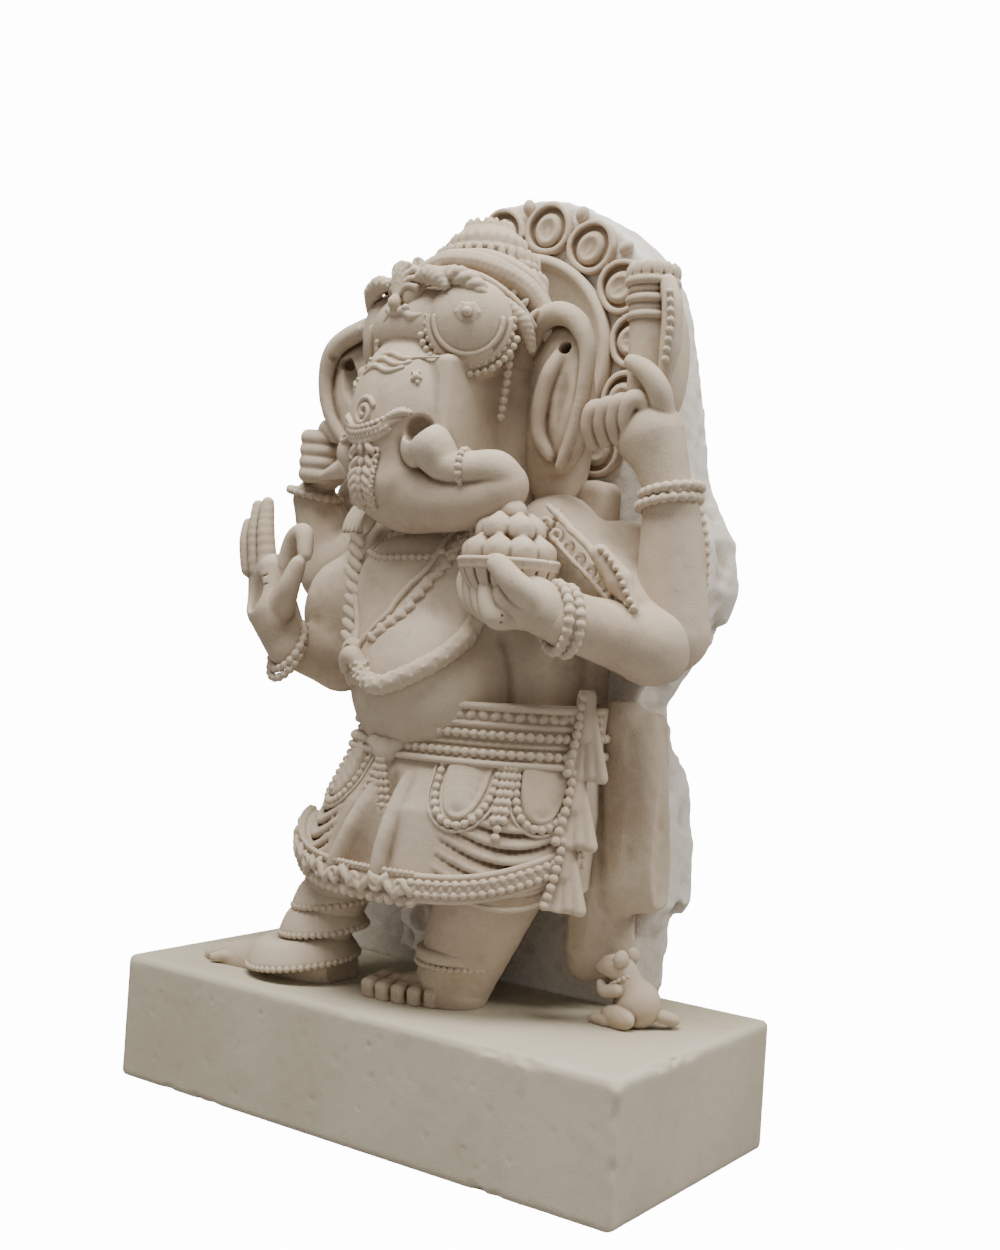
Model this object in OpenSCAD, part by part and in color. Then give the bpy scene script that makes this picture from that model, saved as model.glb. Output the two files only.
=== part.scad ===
// Standing four-armed elephant-headed idol, carved in high relief on a rough back slab and a plinth.
// Frame: origin under the middle of the plinth, +Z up, the figure faces -Y, its left hand is towards +X.
// Every node is one carved feature of the same block of stone. They meet where the chisel would stop.

/* [Plinth] */
// Length of the plinth along X
plinth_w = 390; // [384:1:400]
// Depth of the plinth along Y
plinth_d = 192; // [190:1:210]
// Height of the plinth
plinth_h = 83; // [82:1:84]
// Radius of the worn upright corners
plinth_corner_r = 9; // [4:1:16]

/* [Back slab and halo] */
// Height of the slab's top above the floor
slab_top = 616; // [614:1:622]
// Y of the slab's carved front face
slab_front = 45; // [44:1:47]
// Height of the halo's centre above the floor
halo_z = 503; // [500:1:506]
// Radius over the tips of the lotus petals
halo_r = 110; // [106:1:112]
// Radius of the smooth inner plate of the halo
halo_plate_r = 74; // [70:1:78]
// Number of lotus petals round the halo
petal_count = 15; // [13:1:17]

/* [Figure] */
// Angle that the head is turned towards the figure's right
head_turn = 13; // [10:1:16]
// Radius of the belly
belly_r = 56; // [52:1:58]
// Height of the hem of the waist cloth above the floor
hem_z = 165; // [160:1:170]
// Height of the belt above the floor
belt_z = 261; // [257:1:263]
// Radius of the beads on the bangles and belts
bead_r = 3.2; // [2.6:0.1:3.6]
// Radius of the sweets in the bowl
sweet_r = 10.5; // [9:0.5:11]

/* [Hidden] */

facets = 16;
fine_facets = 10;
rope_facets = 6;
slab_back = plinth_d / 2;
stone = "#cdbfae";
pale_stone = "#e3dccf";
shade_stone = "#b9a994";

// The two turning points of each arm, from shoulder to wrist
left_shoulder = [74, 8, 380];
left_elbow = [150, -6, 314];
left_wrist = [118, -56, 327];
rear_left_elbow = [152, 8, 322];
rear_left_wrist = [147, 4, 404];
right_shoulder = [-64, 0, 368];
right_elbow = [-82, -22, 284];
right_wrist = [-98, -60, 299];
rear_right_elbow = [-126, 14, 350];
rear_right_wrist = [-142, 6, 408];
bowl_centre = [76, -60, 362];
head_axis = [0, -5, 0];

// Where the legs stand on the plinth
left_ankle = [32, -25, plinth_h + 16];
right_ankle = [-66, -38, plinth_h + 16];

// A point on a cubic curve with four control points
function curve(p, t) = pow(1 - t, 3) * p[0] + 3 * pow(1 - t, 2) * t * p[1]
    + 3 * (1 - t) * t * t * p[2] + t * t * t * p[3];

// A tapered limb between two points
module limb(a, ra, b, rb, sides = facets) {
    hull() {
        translate(a) sphere(ra, $fn = sides);
        translate(b) sphere(rb, $fn = sides);
    }
}

// A limb that the stone behind it ties to the slab
module tied_limb(a, ra, b, rb) {
    tie = 0.6;
    hull() {
        translate(a) sphere(ra, $fn = facets);
        translate(b) sphere(rb, $fn = facets);
        translate([a.x, slab_front, a.z]) rotate([90, 0, 0]) cylinder(r = ra * tie, h = 1, $fn = facets);
        translate([b.x, slab_front, b.z]) rotate([90, 0, 0]) cylinder(r = rb * tie, h = 1, $fn = facets);
    }
}

// A rounded rod through a list of points with one radius for each
module chain(points, radii, sides = fine_facets) {
    for (i = [0 : len(points) - 2]) limb(points[i], radii[i], points[i + 1], radii[i + 1], sides);
}

// A string of carved beads along a cubic curve, as the round rope that the beads fill
module bead_string(p, r, steps = 6) {
    points = [for (i = [0 : steps]) curve(p, i / steps)];
    chain(points, [for (point = points) r], rope_facets);
}

// A ring of carved beads round an axis through a point, as the round rim that the beads fill
module bead_ring(centre, tilt, ring_r, r) {
    translate(centre) rotate(tilt) rotate_extrude() translate([ring_r, 0]) circle(r);
}

// A flat oval disc with an upright axis, used to hull the waist cloth
module oval(centre, rx, ry, h) {
    translate(centre) scale([rx, ry, 1]) cylinder(r = 1, h = h, $fn = 48);
}

// Places its children in the frame of the turned head
module on_head() {
    translate(head_axis) rotate([0, 0, -head_turn]) children();
}

// Half space in front of the slab and above the plinth, where the figure is carved
module carving_room() {
    translate([-plinth_w / 2, -plinth_d / 2, plinth_h]) cube([plinth_w, plinth_d / 2 + slab_front, slab_top]);
}

module plinth() {
    inset = plinth_corner_r;
    color(pale_stone) union() {
        translate([-plinth_w / 2 + inset, -plinth_d / 2, 0]) cube([plinth_w - 2 * inset, plinth_d, plinth_h]);
        translate([-plinth_w / 2, -plinth_d / 2 + inset, 0]) cube([plinth_w, plinth_d - 2 * inset, plinth_h]);
        for (x = [-1, 1], y = [-1, 1])
            translate([x * (plinth_w / 2 - inset), y * (plinth_d / 2 - inset), 0]) cylinder(r = inset, h = plinth_h);
    }
}

// The rough slab behind the figure: its outline follows the halo, the elbows and the cloth
module back_slab() {
    side = [[118, plinth_h], [122, 128], [136, 147], [130, 216], [108, 276], [138, 320], [156, 350], [150, 386],
        [128, 428], [120, 480], [106, 540]];
    shoulder = [for (a = [30 : 10 : 150]) [2 + 113 * cos(a), halo_z + (slab_top - halo_z) * sin(a)]];
    other = [for (i = [len(side) - 1 : -1 : 0]) [-side[i].x, side[i].y]];
    color(pale_stone) translate([0, slab_back, 0]) rotate([90, 0, 0])
        linear_extrude(height = slab_back - slab_front) polygon(concat(side, shoulder, other));
}

// The smooth dished disc of the halo, behind the crown
module halo_plate() {
    thickness = 9;
    dish = 4;
    color(stone) translate([2, slab_front, halo_z]) rotate([90, 0, 0]) rotate_extrude()
        polygon([[0, 0], [halo_plate_r, 0], [halo_plate_r, thickness], [halo_plate_r - 5, thickness],
            [halo_plate_r - 9, thickness - dish], [0, thickness - dish]]);
}

// One lotus petal with its raised oval, its tip outwards along X
module petal(length, width, thickness) {
    hull() {
        scale([0.5, 1, 1]) cylinder(r = width * 0.36, h = thickness, $fn = 12);
        translate([length * 0.45, 0, 0]) scale([0.7, 1, 1]) cylinder(r = width * 0.5, h = thickness * 0.8, $fn = 16);
        translate([length - 1, 0, 0]) cylinder(r = 1, h = thickness * 0.6, $fn = 6);
    }
}

module halo_petals() {
    lower = -44;
    upper = 224;
    length = halo_r - halo_plate_r - 5;
    width = 2 * PI * 92 / petal_count * 0.97;
    color(stone) translate([2, slab_front, halo_z]) rotate([90, 0, 0])
        for (i = [0 : petal_count * (upper - lower) / 360])
            rotate([0, 0, lower + i * 360 / petal_count]) translate([halo_plate_r + 5, 0, 0]) petal(length, width, 7);
}

// Hanging bead cord on the slab's right shoulder
module slab_bead_cord() {
    color(stone) {
        bead_string([[138, 40, 424], [150, 40, 405], [158, 40, 375], [158, 40, 352]], 3.6);
        limb([158, 41, 350], 5, [156, 41, 334], 6, fine_facets);
    }
}

// Falling cloth on the slab beside the left leg
module side_drapery() {
    tops = [[116, 30, 268], [126, 34, 250], [104, 26, 262]];
    feet = [[122, 32, 150], [130, 36, 168], [106, 28, 120]];
    color(shade_stone) intersection() {
        union() for (i = [0 : 2]) tied_limb(tops[i], 9, feet[i], 12);
        carving_room();
    }
}

// The waist cloth from the belt to the hem
module waist_cloth() {
    color(stone) intersection() {
        difference() {
            hull() {
                oval([24, -4, belt_z - 4], 84, 60, 8);
                oval([20, -14, belt_z - 45], 94, 70, 2);
                oval([10, -18, hem_z - 4], 103, 70, 2);
            }
            translate([14, -40, hem_z - 12]) cylinder(r1 = 44, r2 = 12, h = 22);
        }
        carving_room();
    }
}

// The heavy scrolled band round the hem
module hem_band() {
    lift = 22;
    ring = [for (a = [190 : 12 : 358]) [10 + 106 * cos(a), -18 + 73 * sin(a), hem_z - 4 + lift * pow(cos(a), 4)]];
    color(stone) intersection() {
        chain(ring, [for (p = ring) 8]);
        carving_room();
    }
}

// The flat belt with its two raised rows of beads
module belt() {
    rows = [belt_z - 11, belt_z - 21];
    color(stone) intersection() {
        union() {
            hull() {
                oval([24, -5, belt_z + 4], 88, 64, 10);
                oval([22, -8, belt_z - 24], 92, 67, 2);
            }
            for (row = rows) oval([23, -7, row - bead_r], 93, 69, 2 * bead_r);
        }
        carving_room();
    }
}

// A point on the waist cloth at an angle and height, so far out from its surface
function on_cloth(a, z, out) = [20 + (94 + out) * cos(a), -13 + (70 + out) * sin(a), z];

// Bead swags that hang from the belt over the thighs
module belt_swags() {
    starts = [215, 250, 288, 318];
    ends = [245, 275, 314, 344];
    top = belt_z - 30;
    low = belt_z - 68;
    color(stone) for (i = [0 : 3])
        bead_string([on_cloth(starts[i], top, 1), on_cloth(starts[i] + 2, low, 4), on_cloth(ends[i] - 2, low, 4),
            on_cloth(ends[i], top, 1)], bead_r * 0.85);
}

// Knotted sash with three tiers of tassels on the left hip
module hip_sash() {
    color(stone) for (i = [0 : 2]) {
        top = [109 - i, -24 - i * 3, belt_z + 14 - 42 * i];
        hull() {
            translate(top) sphere(6, $fn = facets);
            translate(top + [2, -4, -32]) scale([1, 0.8, 1]) sphere(12, $fn = facets);
        }
    }
}

module right_leg() {
    color(stone) difference() {
        limb([-50, -32, hem_z + 8], 26, right_ankle + [0, 0, 4], 17);
        translate([-plinth_w / 2, -plinth_d / 2, 0]) cube([plinth_w, plinth_d, plinth_h]);
    }
}

module left_leg() {
    color(stone) difference() {
        limb([56, -18, hem_z + 8], 38, left_ankle, 25);
        translate([-plinth_w / 2, -plinth_d / 2, 0]) cube([plinth_w, plinth_d, plinth_h]);
    }
}

// A foot with five square-cut toes, its heel at the origin and its toes along X
module foot(length, heel_r, toe_span) {
    toe_r = toe_span / 10;
    difference() {
        union() {
            hull() {
                translate([0, 0, heel_r * 0.5]) sphere(heel_r, $fn = facets);
                translate([length - toe_r, -toe_span / 2 + toe_r, toe_r]) sphere(toe_r, $fn = 12);
                translate([length - toe_r, toe_span / 2 - toe_r, toe_r]) sphere(toe_r, $fn = 12);
            }
            for (i = [-2 : 2])
                limb([length - 16, i * toe_r * 2, toe_r * 1.3], toe_r, [length + 4, i * toe_r * 2.1, toe_r], toe_r,
                    fine_facets);
        }
        translate([-100, -100, -50]) cube([300, 200, 50]);
    }
}

module right_foot() {
    color(stone) translate([right_ankle.x, right_ankle.y, plinth_h]) rotate([0, 0, 190]) foot(82, 20, 42);
}

module left_foot() {
    color(stone) translate([left_ankle.x, left_ankle.y, plinth_h]) rotate([0, 0, 235]) foot(38, 22, 48);
}

// Stacked, flared anklets with a bead rim under each
module right_anklets() {
    color(stone) for (i = [0 : 2]) translate(right_ankle + [i * 2 - 4, 4 - i * 3, 44 - 20 * i]) {
        rim = [23, 27, 35][i];
        rotate_extrude() polygon([[0, 0], [rim, 0], [rim + 2, 2], [rim, 5], [rim - 4, 9], [0, 9]]);
    }
}

module left_anklet() {
    rim = 27;
    color(stone) translate(left_ankle + [0, 0, 12])
        rotate_extrude() polygon([[0, 0], [rim, 0], [rim + 2, 2], [rim, 5], [rim - 2, 9], [0, 9]]);
}

// The rough end of the cloth that falls between the legs
module cloth_end() {
    color(pale_stone) hull() {
        translate([-4, 0, 150]) cube([34, 44, 8], center = true);
        translate([-8, 4, plinth_h + 34]) cube([40, 40, 6], center = true);
        translate([-4, 16, plinth_h + 1]) cube([26, 30, 2], center = true);
    }
}

module belly() {
    color(stone) intersection() {
        translate([11, -33, 279]) sphere(belly_r);
        carving_room();
    }
}

// Chest, shoulders, neck and the core of stone behind them
module torso() {
    color(stone) intersection() {
        union() {
            hull() {
                translate([-50, 4, 364]) sphere(27, $fn = facets);
                translate([58, 8, 374]) sphere(29, $fn = facets);
                translate([-14, -26, 330]) sphere(36, $fn = facets);
                translate([30, -24, 334]) sphere(36, $fn = facets);
                translate([18, -2, 275]) sphere(58, $fn = facets);
                translate([10, slab_front, 330]) cube([120, 2, 130], center = true);
            }
            limb([2, -6, 380], 34, [0, -4, 420], 32);
        }
        carving_room();
    }
}

// Two garlands that frame the smooth chest panel and meet in a clasp
module necklace() {
    clasp = [-38, -66, 304];
    color(stone) {
        bead_string([[-42, -36, 372], [-54, -58, 350], [-46, -70, 320], clasp], 3.2);
        bead_string([[30, -44, 380], [34, -66, 352], [4, -80, 318], clasp], 3.4);
        translate(clasp) sphere(7, $fn = facets);
    }
}

// The sacred serpent girdle, its tail up at the left breast and its hooked head on the belly
module serpent_girdle() {
    path = [[58, -56, 358], [62, -62, 338], [56, -76, 318], [42, -86, 300], [24, -90, 290], [6, -90, 282],
        [-8, -88, 286], [-18, -85, 296]];
    color(stone) chain(path, [4, 5, 6, 6, 6, 6, 6, 5]);
}

// Ribbons and tassels on the right shoulder
module shoulder_tassels() {
    color(stone) for (i = [0 : 3])
        limb([-70 + 9 * i, -20 - 8 * i, 396], 4, [-76 + 9 * i, -28 - 8 * i, 376], 6, fine_facets);
}

module left_upper_arm() {
    color(stone) intersection() {
        tied_limb(left_shoulder, 30, left_elbow, 25);
        carving_room();
    }
}

module left_forearm() {
    color(stone) limb(left_elbow, 24, left_wrist, 18);
}

// The open hand that carries the bowl: palm, thumb and four fingers
module left_hand() {
    palm = [92, -64, 338];
    color(stone) {
        limb(left_wrist, 15, palm, 14);
        for (i = [0 : 3]) {
            root = palm + [-6 - 5 * i, -8 + 2 * i, -4 + 2 * i];
            chain([root, root + [-16 + i, -6 + i, 12], root + [-15 + i, -4, 30]], [7, 5.5, 4.5]);
        }
        limb(palm + [14, -10, 0], 7, palm + [4, -20, 20], 5, fine_facets);
    }
}

module left_bangle() {
    color(stone) {
        bead_ring([116, -54, 327], [0, 90, 56], 19, 3.5);
        bead_ring([113, -59, 327], [0, 90, 56], 20, bead_r);
    }
}

// Armlet on the left upper arm with its hanging pointed tassel
module armlet() {
    color(stone) {
        bead_string([[90, -34, 392], [104, -44, 384], [124, -42, 372], [138, -30, 356]], 3.4);
        chain([[128, -38, 366], [146, -34, 350], [152, -30, 330]], [7, 8, 4]);
    }
}

module sweet_bowl() {
    depth = 26;
    rim = 31;
    color(stone) translate(bowl_centre - [0, 0, depth]) difference() {
        rotate_extrude() polygon([[0, 0], [14, 0], [26, 10], [rim - 2, depth - 4], [rim, depth - 3], [rim, depth],
            [0, depth]]);
        translate([0, 0, depth - 4]) cylinder(r = rim - 4, h = 5);
    }
}

// The sweets heaped in the bowl, two layers and a top one
module sweets() {
    layers = [[9, 20, 2], [6, 12, 17], [1, 0, 29]];
    color(stone) translate(bowl_centre) for (layer = layers, i = [0 : layer[0] - 1])
        rotate([0, 0, 360 * i / layer[0]]) translate([layer[1], 0, layer[2]])
            hull() sphere(sweet_r, $fn = fine_facets);
}

module rear_left_arm() {
    color(stone) intersection() {
        tied_limb(rear_left_elbow, 24, rear_left_wrist, 17);
        carving_room();
    }
}

// The raised hand whose fingers curl round the emblem
module rear_left_hand() {
    palm = [132, 0, 446];
    color(stone) {
        limb(rear_left_wrist, 15, palm, 17);
        for (i = [0 : 3]) {
            knuckle = palm + [-4 - 7 * i + (i == 0 ? 2 : 0), -15 + i, 14 + 2 * i];
            chain([palm + [-3 * i, -6, 2], knuckle, knuckle + [-4, 3, -16]], [8, 6, 5]);
        }
        limb(palm + [4, -6, 10], 6, [126, -8, 480], 5, fine_facets);
    }
}

module rear_left_bangle() {
    color(stone) {
        bead_ring(rear_left_wrist, [0, -12, 0], 18, 3.5);
        bead_ring(rear_left_wrist + [1, 0, 5], [0, -12, 0], 18.5, bead_r);
    }
}

// The short moulded staff held up by the rear left hand
module emblem() {
    shaft_r = 13;
    foot_z = 460;
    top_z = 550;
    color(stone) translate([126, 4, 0]) rotate_extrude() polygon([[0, foot_z], [8, foot_z], [shaft_r, foot_z + 14],
        [shaft_r, top_z - 34], [17, top_z - 31], [17, top_z - 26], [14, top_z - 24], [18, top_z - 20],
        [18, top_z - 14], [15, top_z - 12], [19, top_z - 8], [19, top_z - 3], [8, top_z], [0, top_z]]);
}

module right_arm() {
    color(stone) {
        limb(right_shoulder, 27, right_elbow, 21);
        limb(right_elbow, 21, right_wrist, 15);
    }
}

// The raised open hand: three straight fingers, and a forefinger that meets the thumb
module right_hand() {
    palm = [-112, -64, 332];
    color(stone) {
        limb(right_wrist, 14, palm + [2, 0, -8], 17);
        limb(palm, 16, palm + [-6, -2, 16], 15);
        for (i = [0 : 2]) {
            root = palm + [-18 + 9 * i, -4 + 3 * i, 22];
            limb(root, 6.5, root + [-4 + i, -2, 42 - 4 * i], 4.8, fine_facets);
        }
        chain([palm + [10, 2, 22], palm + [20, 0, 46], palm + [34, -4, 42], palm + [38, -6, 26]], [6.5, 6, 5, 4.5]);
        chain([palm + [12, -6, -6], palm + [28, -12, 10], palm + [37, -8, 24]], [8, 6, 4.5]);
    }
}

module right_bangle() {
    color(stone) bead_ring(right_wrist, [64, 0, -20], 17, bead_r + 0.5);
}

module rear_right_arm() {
    color(stone) intersection() {
        union() {
            tied_limb([-80, 16, 372], 24, rear_right_elbow, 22);
            tied_limb(rear_right_elbow, 21, rear_right_wrist, 16);
            tied_limb(rear_right_wrist, 16, [-136, 0, 440], 18);
        }
        carving_room();
    }
}

// The elephant's head without its trunk, ears and crown
module head() {
    color(stone) {
        on_head() hull() {
            for (side = [-1, 1]) {
                translate([side * 24, -18, 502]) sphere(34, $fn = facets);
                translate([side * 24, -24, 440]) sphere(26, $fn = facets);
            }
            translate([0, -44, 506]) sphere(26, $fn = facets);
            translate([0, -56, 440]) sphere(24, $fn = facets);
        }
        intersection() {
            translate([0, 20, 470]) rotate([90, 0, 0]) cylinder(r = 44, h = 60, center = true);
            carving_room();
        }
    }
}

// The trunk falls to the chin, turns towards the sweets and curls back over itself
module trunk() {
    path = [[-18, -60, 458], [-19, -66, 428], [-13, -68, 404], [8, -68, 397], [32, -64, 399], [52, -60, 400],
        [58, -62, 410], [47, -66, 419], [33, -70, 421]];
    color(stone) chain(path, [30, 27, 22, 17, 15, 13, 11, 10.5, 12], facets);
}

module trunk_bands() {
    color(stone) {
        bead_ring([14, -67, 398], [0, 90, 4], 17.5, bead_r * 0.9);
        bead_ring([48, -65, 418], [0, 70, 20], 12.5, bead_r * 0.8);
    }
}

module right_tusk() {
    color(stone) limb([-46, -64, 418], 8, [-72, -66, 413], 3, fine_facets);
}

// A fan of stone with a rolled rim, its root along the head
module left_ear() {
    color(stone) {
        hull() {
            translate([46, 0, 500]) rotate([90, 0, 0]) cylinder(r = 14, h = 8, center = true, $fn = 24);
            translate([86, -12, 488]) rotate([90, 0, 0]) cylinder(r = 12, h = 6, center = true, $fn = 24);
            translate([70, -10, 430]) rotate([90, 0, 0]) cylinder(r = 8, h = 6, center = true, $fn = 24);
            translate([44, 20, 450]) rotate([90, 0, 0]) cylinder(r = 10, h = 20, center = true, $fn = 24);
        }
        chain([[52, -10, 512], [68, -16, 518], [86, -20, 508], [96, -20, 488], [91, -18, 460], [78, -16, 426]],
            [6, 8, 7, 5, 4.5, 4]);
    }
}

module right_ear() {
    color(stone) {
        hull() {
            translate([-52, 0, 512]) rotate([90, 0, 0]) cylinder(r = 12, h = 10, center = true, $fn = 24);
            translate([-106, -14, 492]) rotate([90, 0, 0]) cylinder(r = 12, h = 6, center = true, $fn = 24);
            translate([-88, -14, 440]) rotate([90, 0, 0]) cylinder(r = 8, h = 6, center = true, $fn = 24);
            translate([-44, 14, 452]) rotate([90, 0, 0]) cylinder(r = 10, h = 20, center = true, $fn = 24);
        }
        chain([[-58, -12, 522], [-84, -20, 520], [-108, -22, 508], [-116, -20, 488], [-112, -18, 464], [-92, -16, 434]],
            [5, 6, 6, 5, 4.5, 4]);
    }
}

// Two round bosses on the forehead, each with a flower bud and a fringe of beads
module forehead_bosses() {
    color(stone) on_head() for (side = [-1, 1]) translate([side * 31, -38, 510]) rotate([78, 0, side * 28]) {
        rotate_extrude() polygon([[0, 0], [28, 0], [29, 4], [27, 7], [20, 12], [0, 14]]);
        translate([0, 4, 14]) sphere(7);
    }
}

// Leafy garland across the root of the trunk
module garland_band() {
    color(stone) on_head() chain([for (a = [-60 : 20 : 60]) [34 * sin(a), -40 - 40 * cos(a), 462 - 12 * cos(a)]],
        [for (a = [-60 : 20 : 60]) 4.5]);
}

// The stepped crown, widest over the brows
module crown_tiers() {
    tiers = [[56, 44, 524], [48, 38, 538], [39, 32, 551], [30, 25, 562]];
    color(stone) on_head() for (tier = tiers) hull() {
        oval([4, -2, tier[2] - 10], tier[0], tier[1], 6);
        oval([4, -2, tier[2]], tier[0] - 5, tier[1] - 5, 6);
    }
}

module crown_finial() {
    color(stone) on_head() translate([5, -2, 0]) rotate_extrude() polygon([[0, 566], [22, 566], [22, 571], [16, 573],
        [16, 579], [10, 581], [10, 586], [4, 593], [0, 595]]);
}

// The pointed leaf over the brow
module crown_pendant() {
    color(stone) on_head() hull() {
        translate([0, -52, 522]) sphere(13, $fn = facets);
        translate([0, -50, 552]) sphere(3, $fn = facets);
    }
}

// Two combed rolls of hair over the bosses
module hair_curls() {
    color(stone) on_head() for (side = [-1, 1]) {
        chain([[side * 12, -52, 534], [side * 24, -50, 539], [side * 36, -42, 534], [side * 44, -28, 522]],
            [6, 7, 7, 6]);
    }
}

// The small mouse that sits up beside the left foot
module mouse() {
    seat = [140, 12, plinth_h];
    color(stone) difference() {
        union() {
            translate(seat + [7, 7, 12]) sphere(16);
            limb(seat + [4, 2, 14], 12, seat + [-10, -6, 30], 9.5, fine_facets);
            limb(seat + [-13, -8, 32], 7, seat + [-24, -12, 27], 3.5, fine_facets);
            limb(seat + [-8, -10, 38], 4, seat + [-8, -10, 41], 3.5, fine_facets);
            limb(seat + [-3, 2, 38], 4, seat + [-3, 3, 42], 3.5, fine_facets);
            limb(seat + [-8, -8, 20], 5, seat + [-20, -12, 5], 4, fine_facets);
        }
        translate([-plinth_w / 2, -plinth_d / 2, 0]) cube([plinth_w, plinth_d, plinth_h]);
    }
}

plinth();
back_slab();
halo_plate();
halo_petals();
slab_bead_cord();
side_drapery();
waist_cloth();
hem_band();
belt();
belt_swags();
hip_sash();
right_leg();
left_leg();
right_foot();
left_foot();
right_anklets();
left_anklet();
cloth_end();
belly();
torso();
necklace();
serpent_girdle();
shoulder_tassels();
left_upper_arm();
left_forearm();
left_hand();
left_bangle();
armlet();
sweet_bowl();
sweets();
rear_left_arm();
rear_left_hand();
rear_left_bangle();
emblem();
right_arm();
right_hand();
right_bangle();
rear_right_arm();
head();
trunk();
trunk_bands();
right_tusk();
left_ear();
right_ear();
forehead_bosses();
garland_band();
crown_tiers();
crown_finial();
crown_pendant();
hair_curls();
mouse();
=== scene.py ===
import math

import bpy
import numpy as np
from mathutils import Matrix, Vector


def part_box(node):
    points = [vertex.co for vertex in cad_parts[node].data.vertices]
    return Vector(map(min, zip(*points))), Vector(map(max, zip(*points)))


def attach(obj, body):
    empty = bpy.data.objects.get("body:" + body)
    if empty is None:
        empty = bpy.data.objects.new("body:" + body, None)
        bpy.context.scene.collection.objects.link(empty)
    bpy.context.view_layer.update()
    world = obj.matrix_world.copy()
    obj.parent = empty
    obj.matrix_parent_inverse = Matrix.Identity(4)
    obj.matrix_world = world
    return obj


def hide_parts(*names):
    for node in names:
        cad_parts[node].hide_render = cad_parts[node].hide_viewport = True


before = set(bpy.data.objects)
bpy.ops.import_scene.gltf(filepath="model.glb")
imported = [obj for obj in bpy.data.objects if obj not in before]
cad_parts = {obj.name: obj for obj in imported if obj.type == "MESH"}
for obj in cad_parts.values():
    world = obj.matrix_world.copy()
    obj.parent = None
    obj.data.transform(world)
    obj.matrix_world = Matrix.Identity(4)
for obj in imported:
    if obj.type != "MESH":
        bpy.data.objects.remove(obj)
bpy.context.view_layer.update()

import openvdb
from mathutils import Matrix, Vector
from mathutils.bvhtree import BVHTree

# ---------------------------------------------------------------------------
# The room: a floor and a backdrop that the camera sees as plain white, a soft
# sky, a broad lamp above, a key in front on the figure's right, a rim lamp
# behind, a weak fill, and the camera low on the figure's left.
# ---------------------------------------------------------------------------
world = bpy.data.worlds.new("studio")
bpy.context.scene.world = world
world.use_nodes = True
sky = world.node_tree.nodes["Background"]
sky.inputs["Color"].default_value = (1.0, 0.985, 0.965, 1)
sky.inputs["Strength"].default_value = 0.27
WHITE_GLOW = 14
backdrop = world.node_tree.nodes.new("ShaderNodeBackground")
backdrop.inputs["Color"].default_value = (1, 1, 1, 1)
backdrop.inputs["Strength"].default_value = WHITE_GLOW
seen = world.node_tree.nodes.new("ShaderNodeLightPath")
choose = world.node_tree.nodes.new("ShaderNodeMixShader")
world.node_tree.links.new(seen.outputs["Is Camera Ray"], choose.inputs["Fac"])
world.node_tree.links.new(sky.outputs["Background"], choose.inputs[1])
world.node_tree.links.new(backdrop.outputs["Background"], choose.inputs[2])
world.node_tree.links.new(choose.outputs["Shader"], world.node_tree.nodes["World Output"].inputs["Surface"])


def soft_light(name, place, aim, size, power, tint):
    """A square lamp at a place, turned to an aim point, with its size in metres and power in watts."""
    lamp = bpy.data.lights.new(name, "AREA")
    lamp.energy, lamp.size, lamp.color = power, size, tint
    holder = bpy.data.objects.new(name, lamp)
    bpy.context.collection.objects.link(holder)
    way = Vector(aim) - Vector(place)
    holder.matrix_world = Matrix.Translation(place) @ way.to_track_quat("-Z", "Y").to_matrix().to_4x4()


soft_light("key", (-0.3, -0.75, 1.9), (0, 0, 0.35), 0.7, 24, (1.0, 0.985, 0.965))
soft_light("rim", (1.35, 0.6, 1.25), (0, 0, 0.3), 0.6, 20, (1.0, 0.985, 0.96))
soft_light("top", (0.3, -0.4, 2.1), (0, 0, 0.2), 1.0, 60, (1.0, 0.985, 0.97))
soft_light("fill", (0.9, -1.9, 0.7), (0, 0, 0.3), 1.4, 4, (1.0, 0.97, 0.94))

floor_mesh = bpy.data.meshes.new("studio_floor")
reach = 12.0
floor_corners = [(-reach, -reach, 0), (reach, -reach, 0), (reach, reach, 0), (-reach, reach, 0)]
floor_mesh.from_pydata(floor_corners, [], [(0, 1, 2, 3)])
floor = bpy.data.objects.new("studio_floor", floor_mesh)
bpy.context.collection.objects.link(floor)
paint = bpy.data.materials.new("pale_floor")
paint.use_nodes = True
paint_shader = paint.node_tree.nodes["Principled BSDF"]
paint_shader.inputs["Base Color"].default_value = (0.3, 0.29, 0.28, 1)
paint_shader.inputs["Roughness"].default_value = 0.9
paint_shader.inputs["Emission Color"].default_value = (1, 1, 1, 1)
glow = paint.node_tree.nodes.new("ShaderNodeMath")
glow.operation = "MULTIPLY"
glow.inputs[1].default_value = WHITE_GLOW
straight = paint.node_tree.nodes.new("ShaderNodeLightPath")
paint.node_tree.links.new(straight.outputs["Is Camera Ray"], glow.inputs[0])
paint.node_tree.links.new(glow.outputs["Value"], paint_shader.inputs["Emission Strength"])
floor_mesh.materials.append(paint)

lens = bpy.data.cameras.new("camera")
lens.sensor_width = 36
lens.lens = 42.81
camera = bpy.data.objects.new("camera", lens)
bpy.context.collection.objects.link(camera)
camera.matrix_world = (Matrix.Translation((0.5817, -0.7921, 0.3166)) @ Matrix.Rotation(math.radians(34.816),
        4, "Z") @ Matrix.Rotation(math.radians(90.37), 4, "X") @ Matrix.Rotation(math.radians(3.79), 4,
        "Z"))
bpy.context.scene.camera = camera

# ---------------------------------------------------------------------------
# Plinth: the uncut foot of the block, sawn square and rubbed down, with chips
# along its edges, worn front corners and small pits. Everything stands on it.
# ---------------------------------------------------------------------------
MM = 0.001


def node_box(node):
    """A node's lowest and highest corners in millimetres."""
    low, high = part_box(node)
    return np.array(low) / MM, np.array(high) / MM


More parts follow.
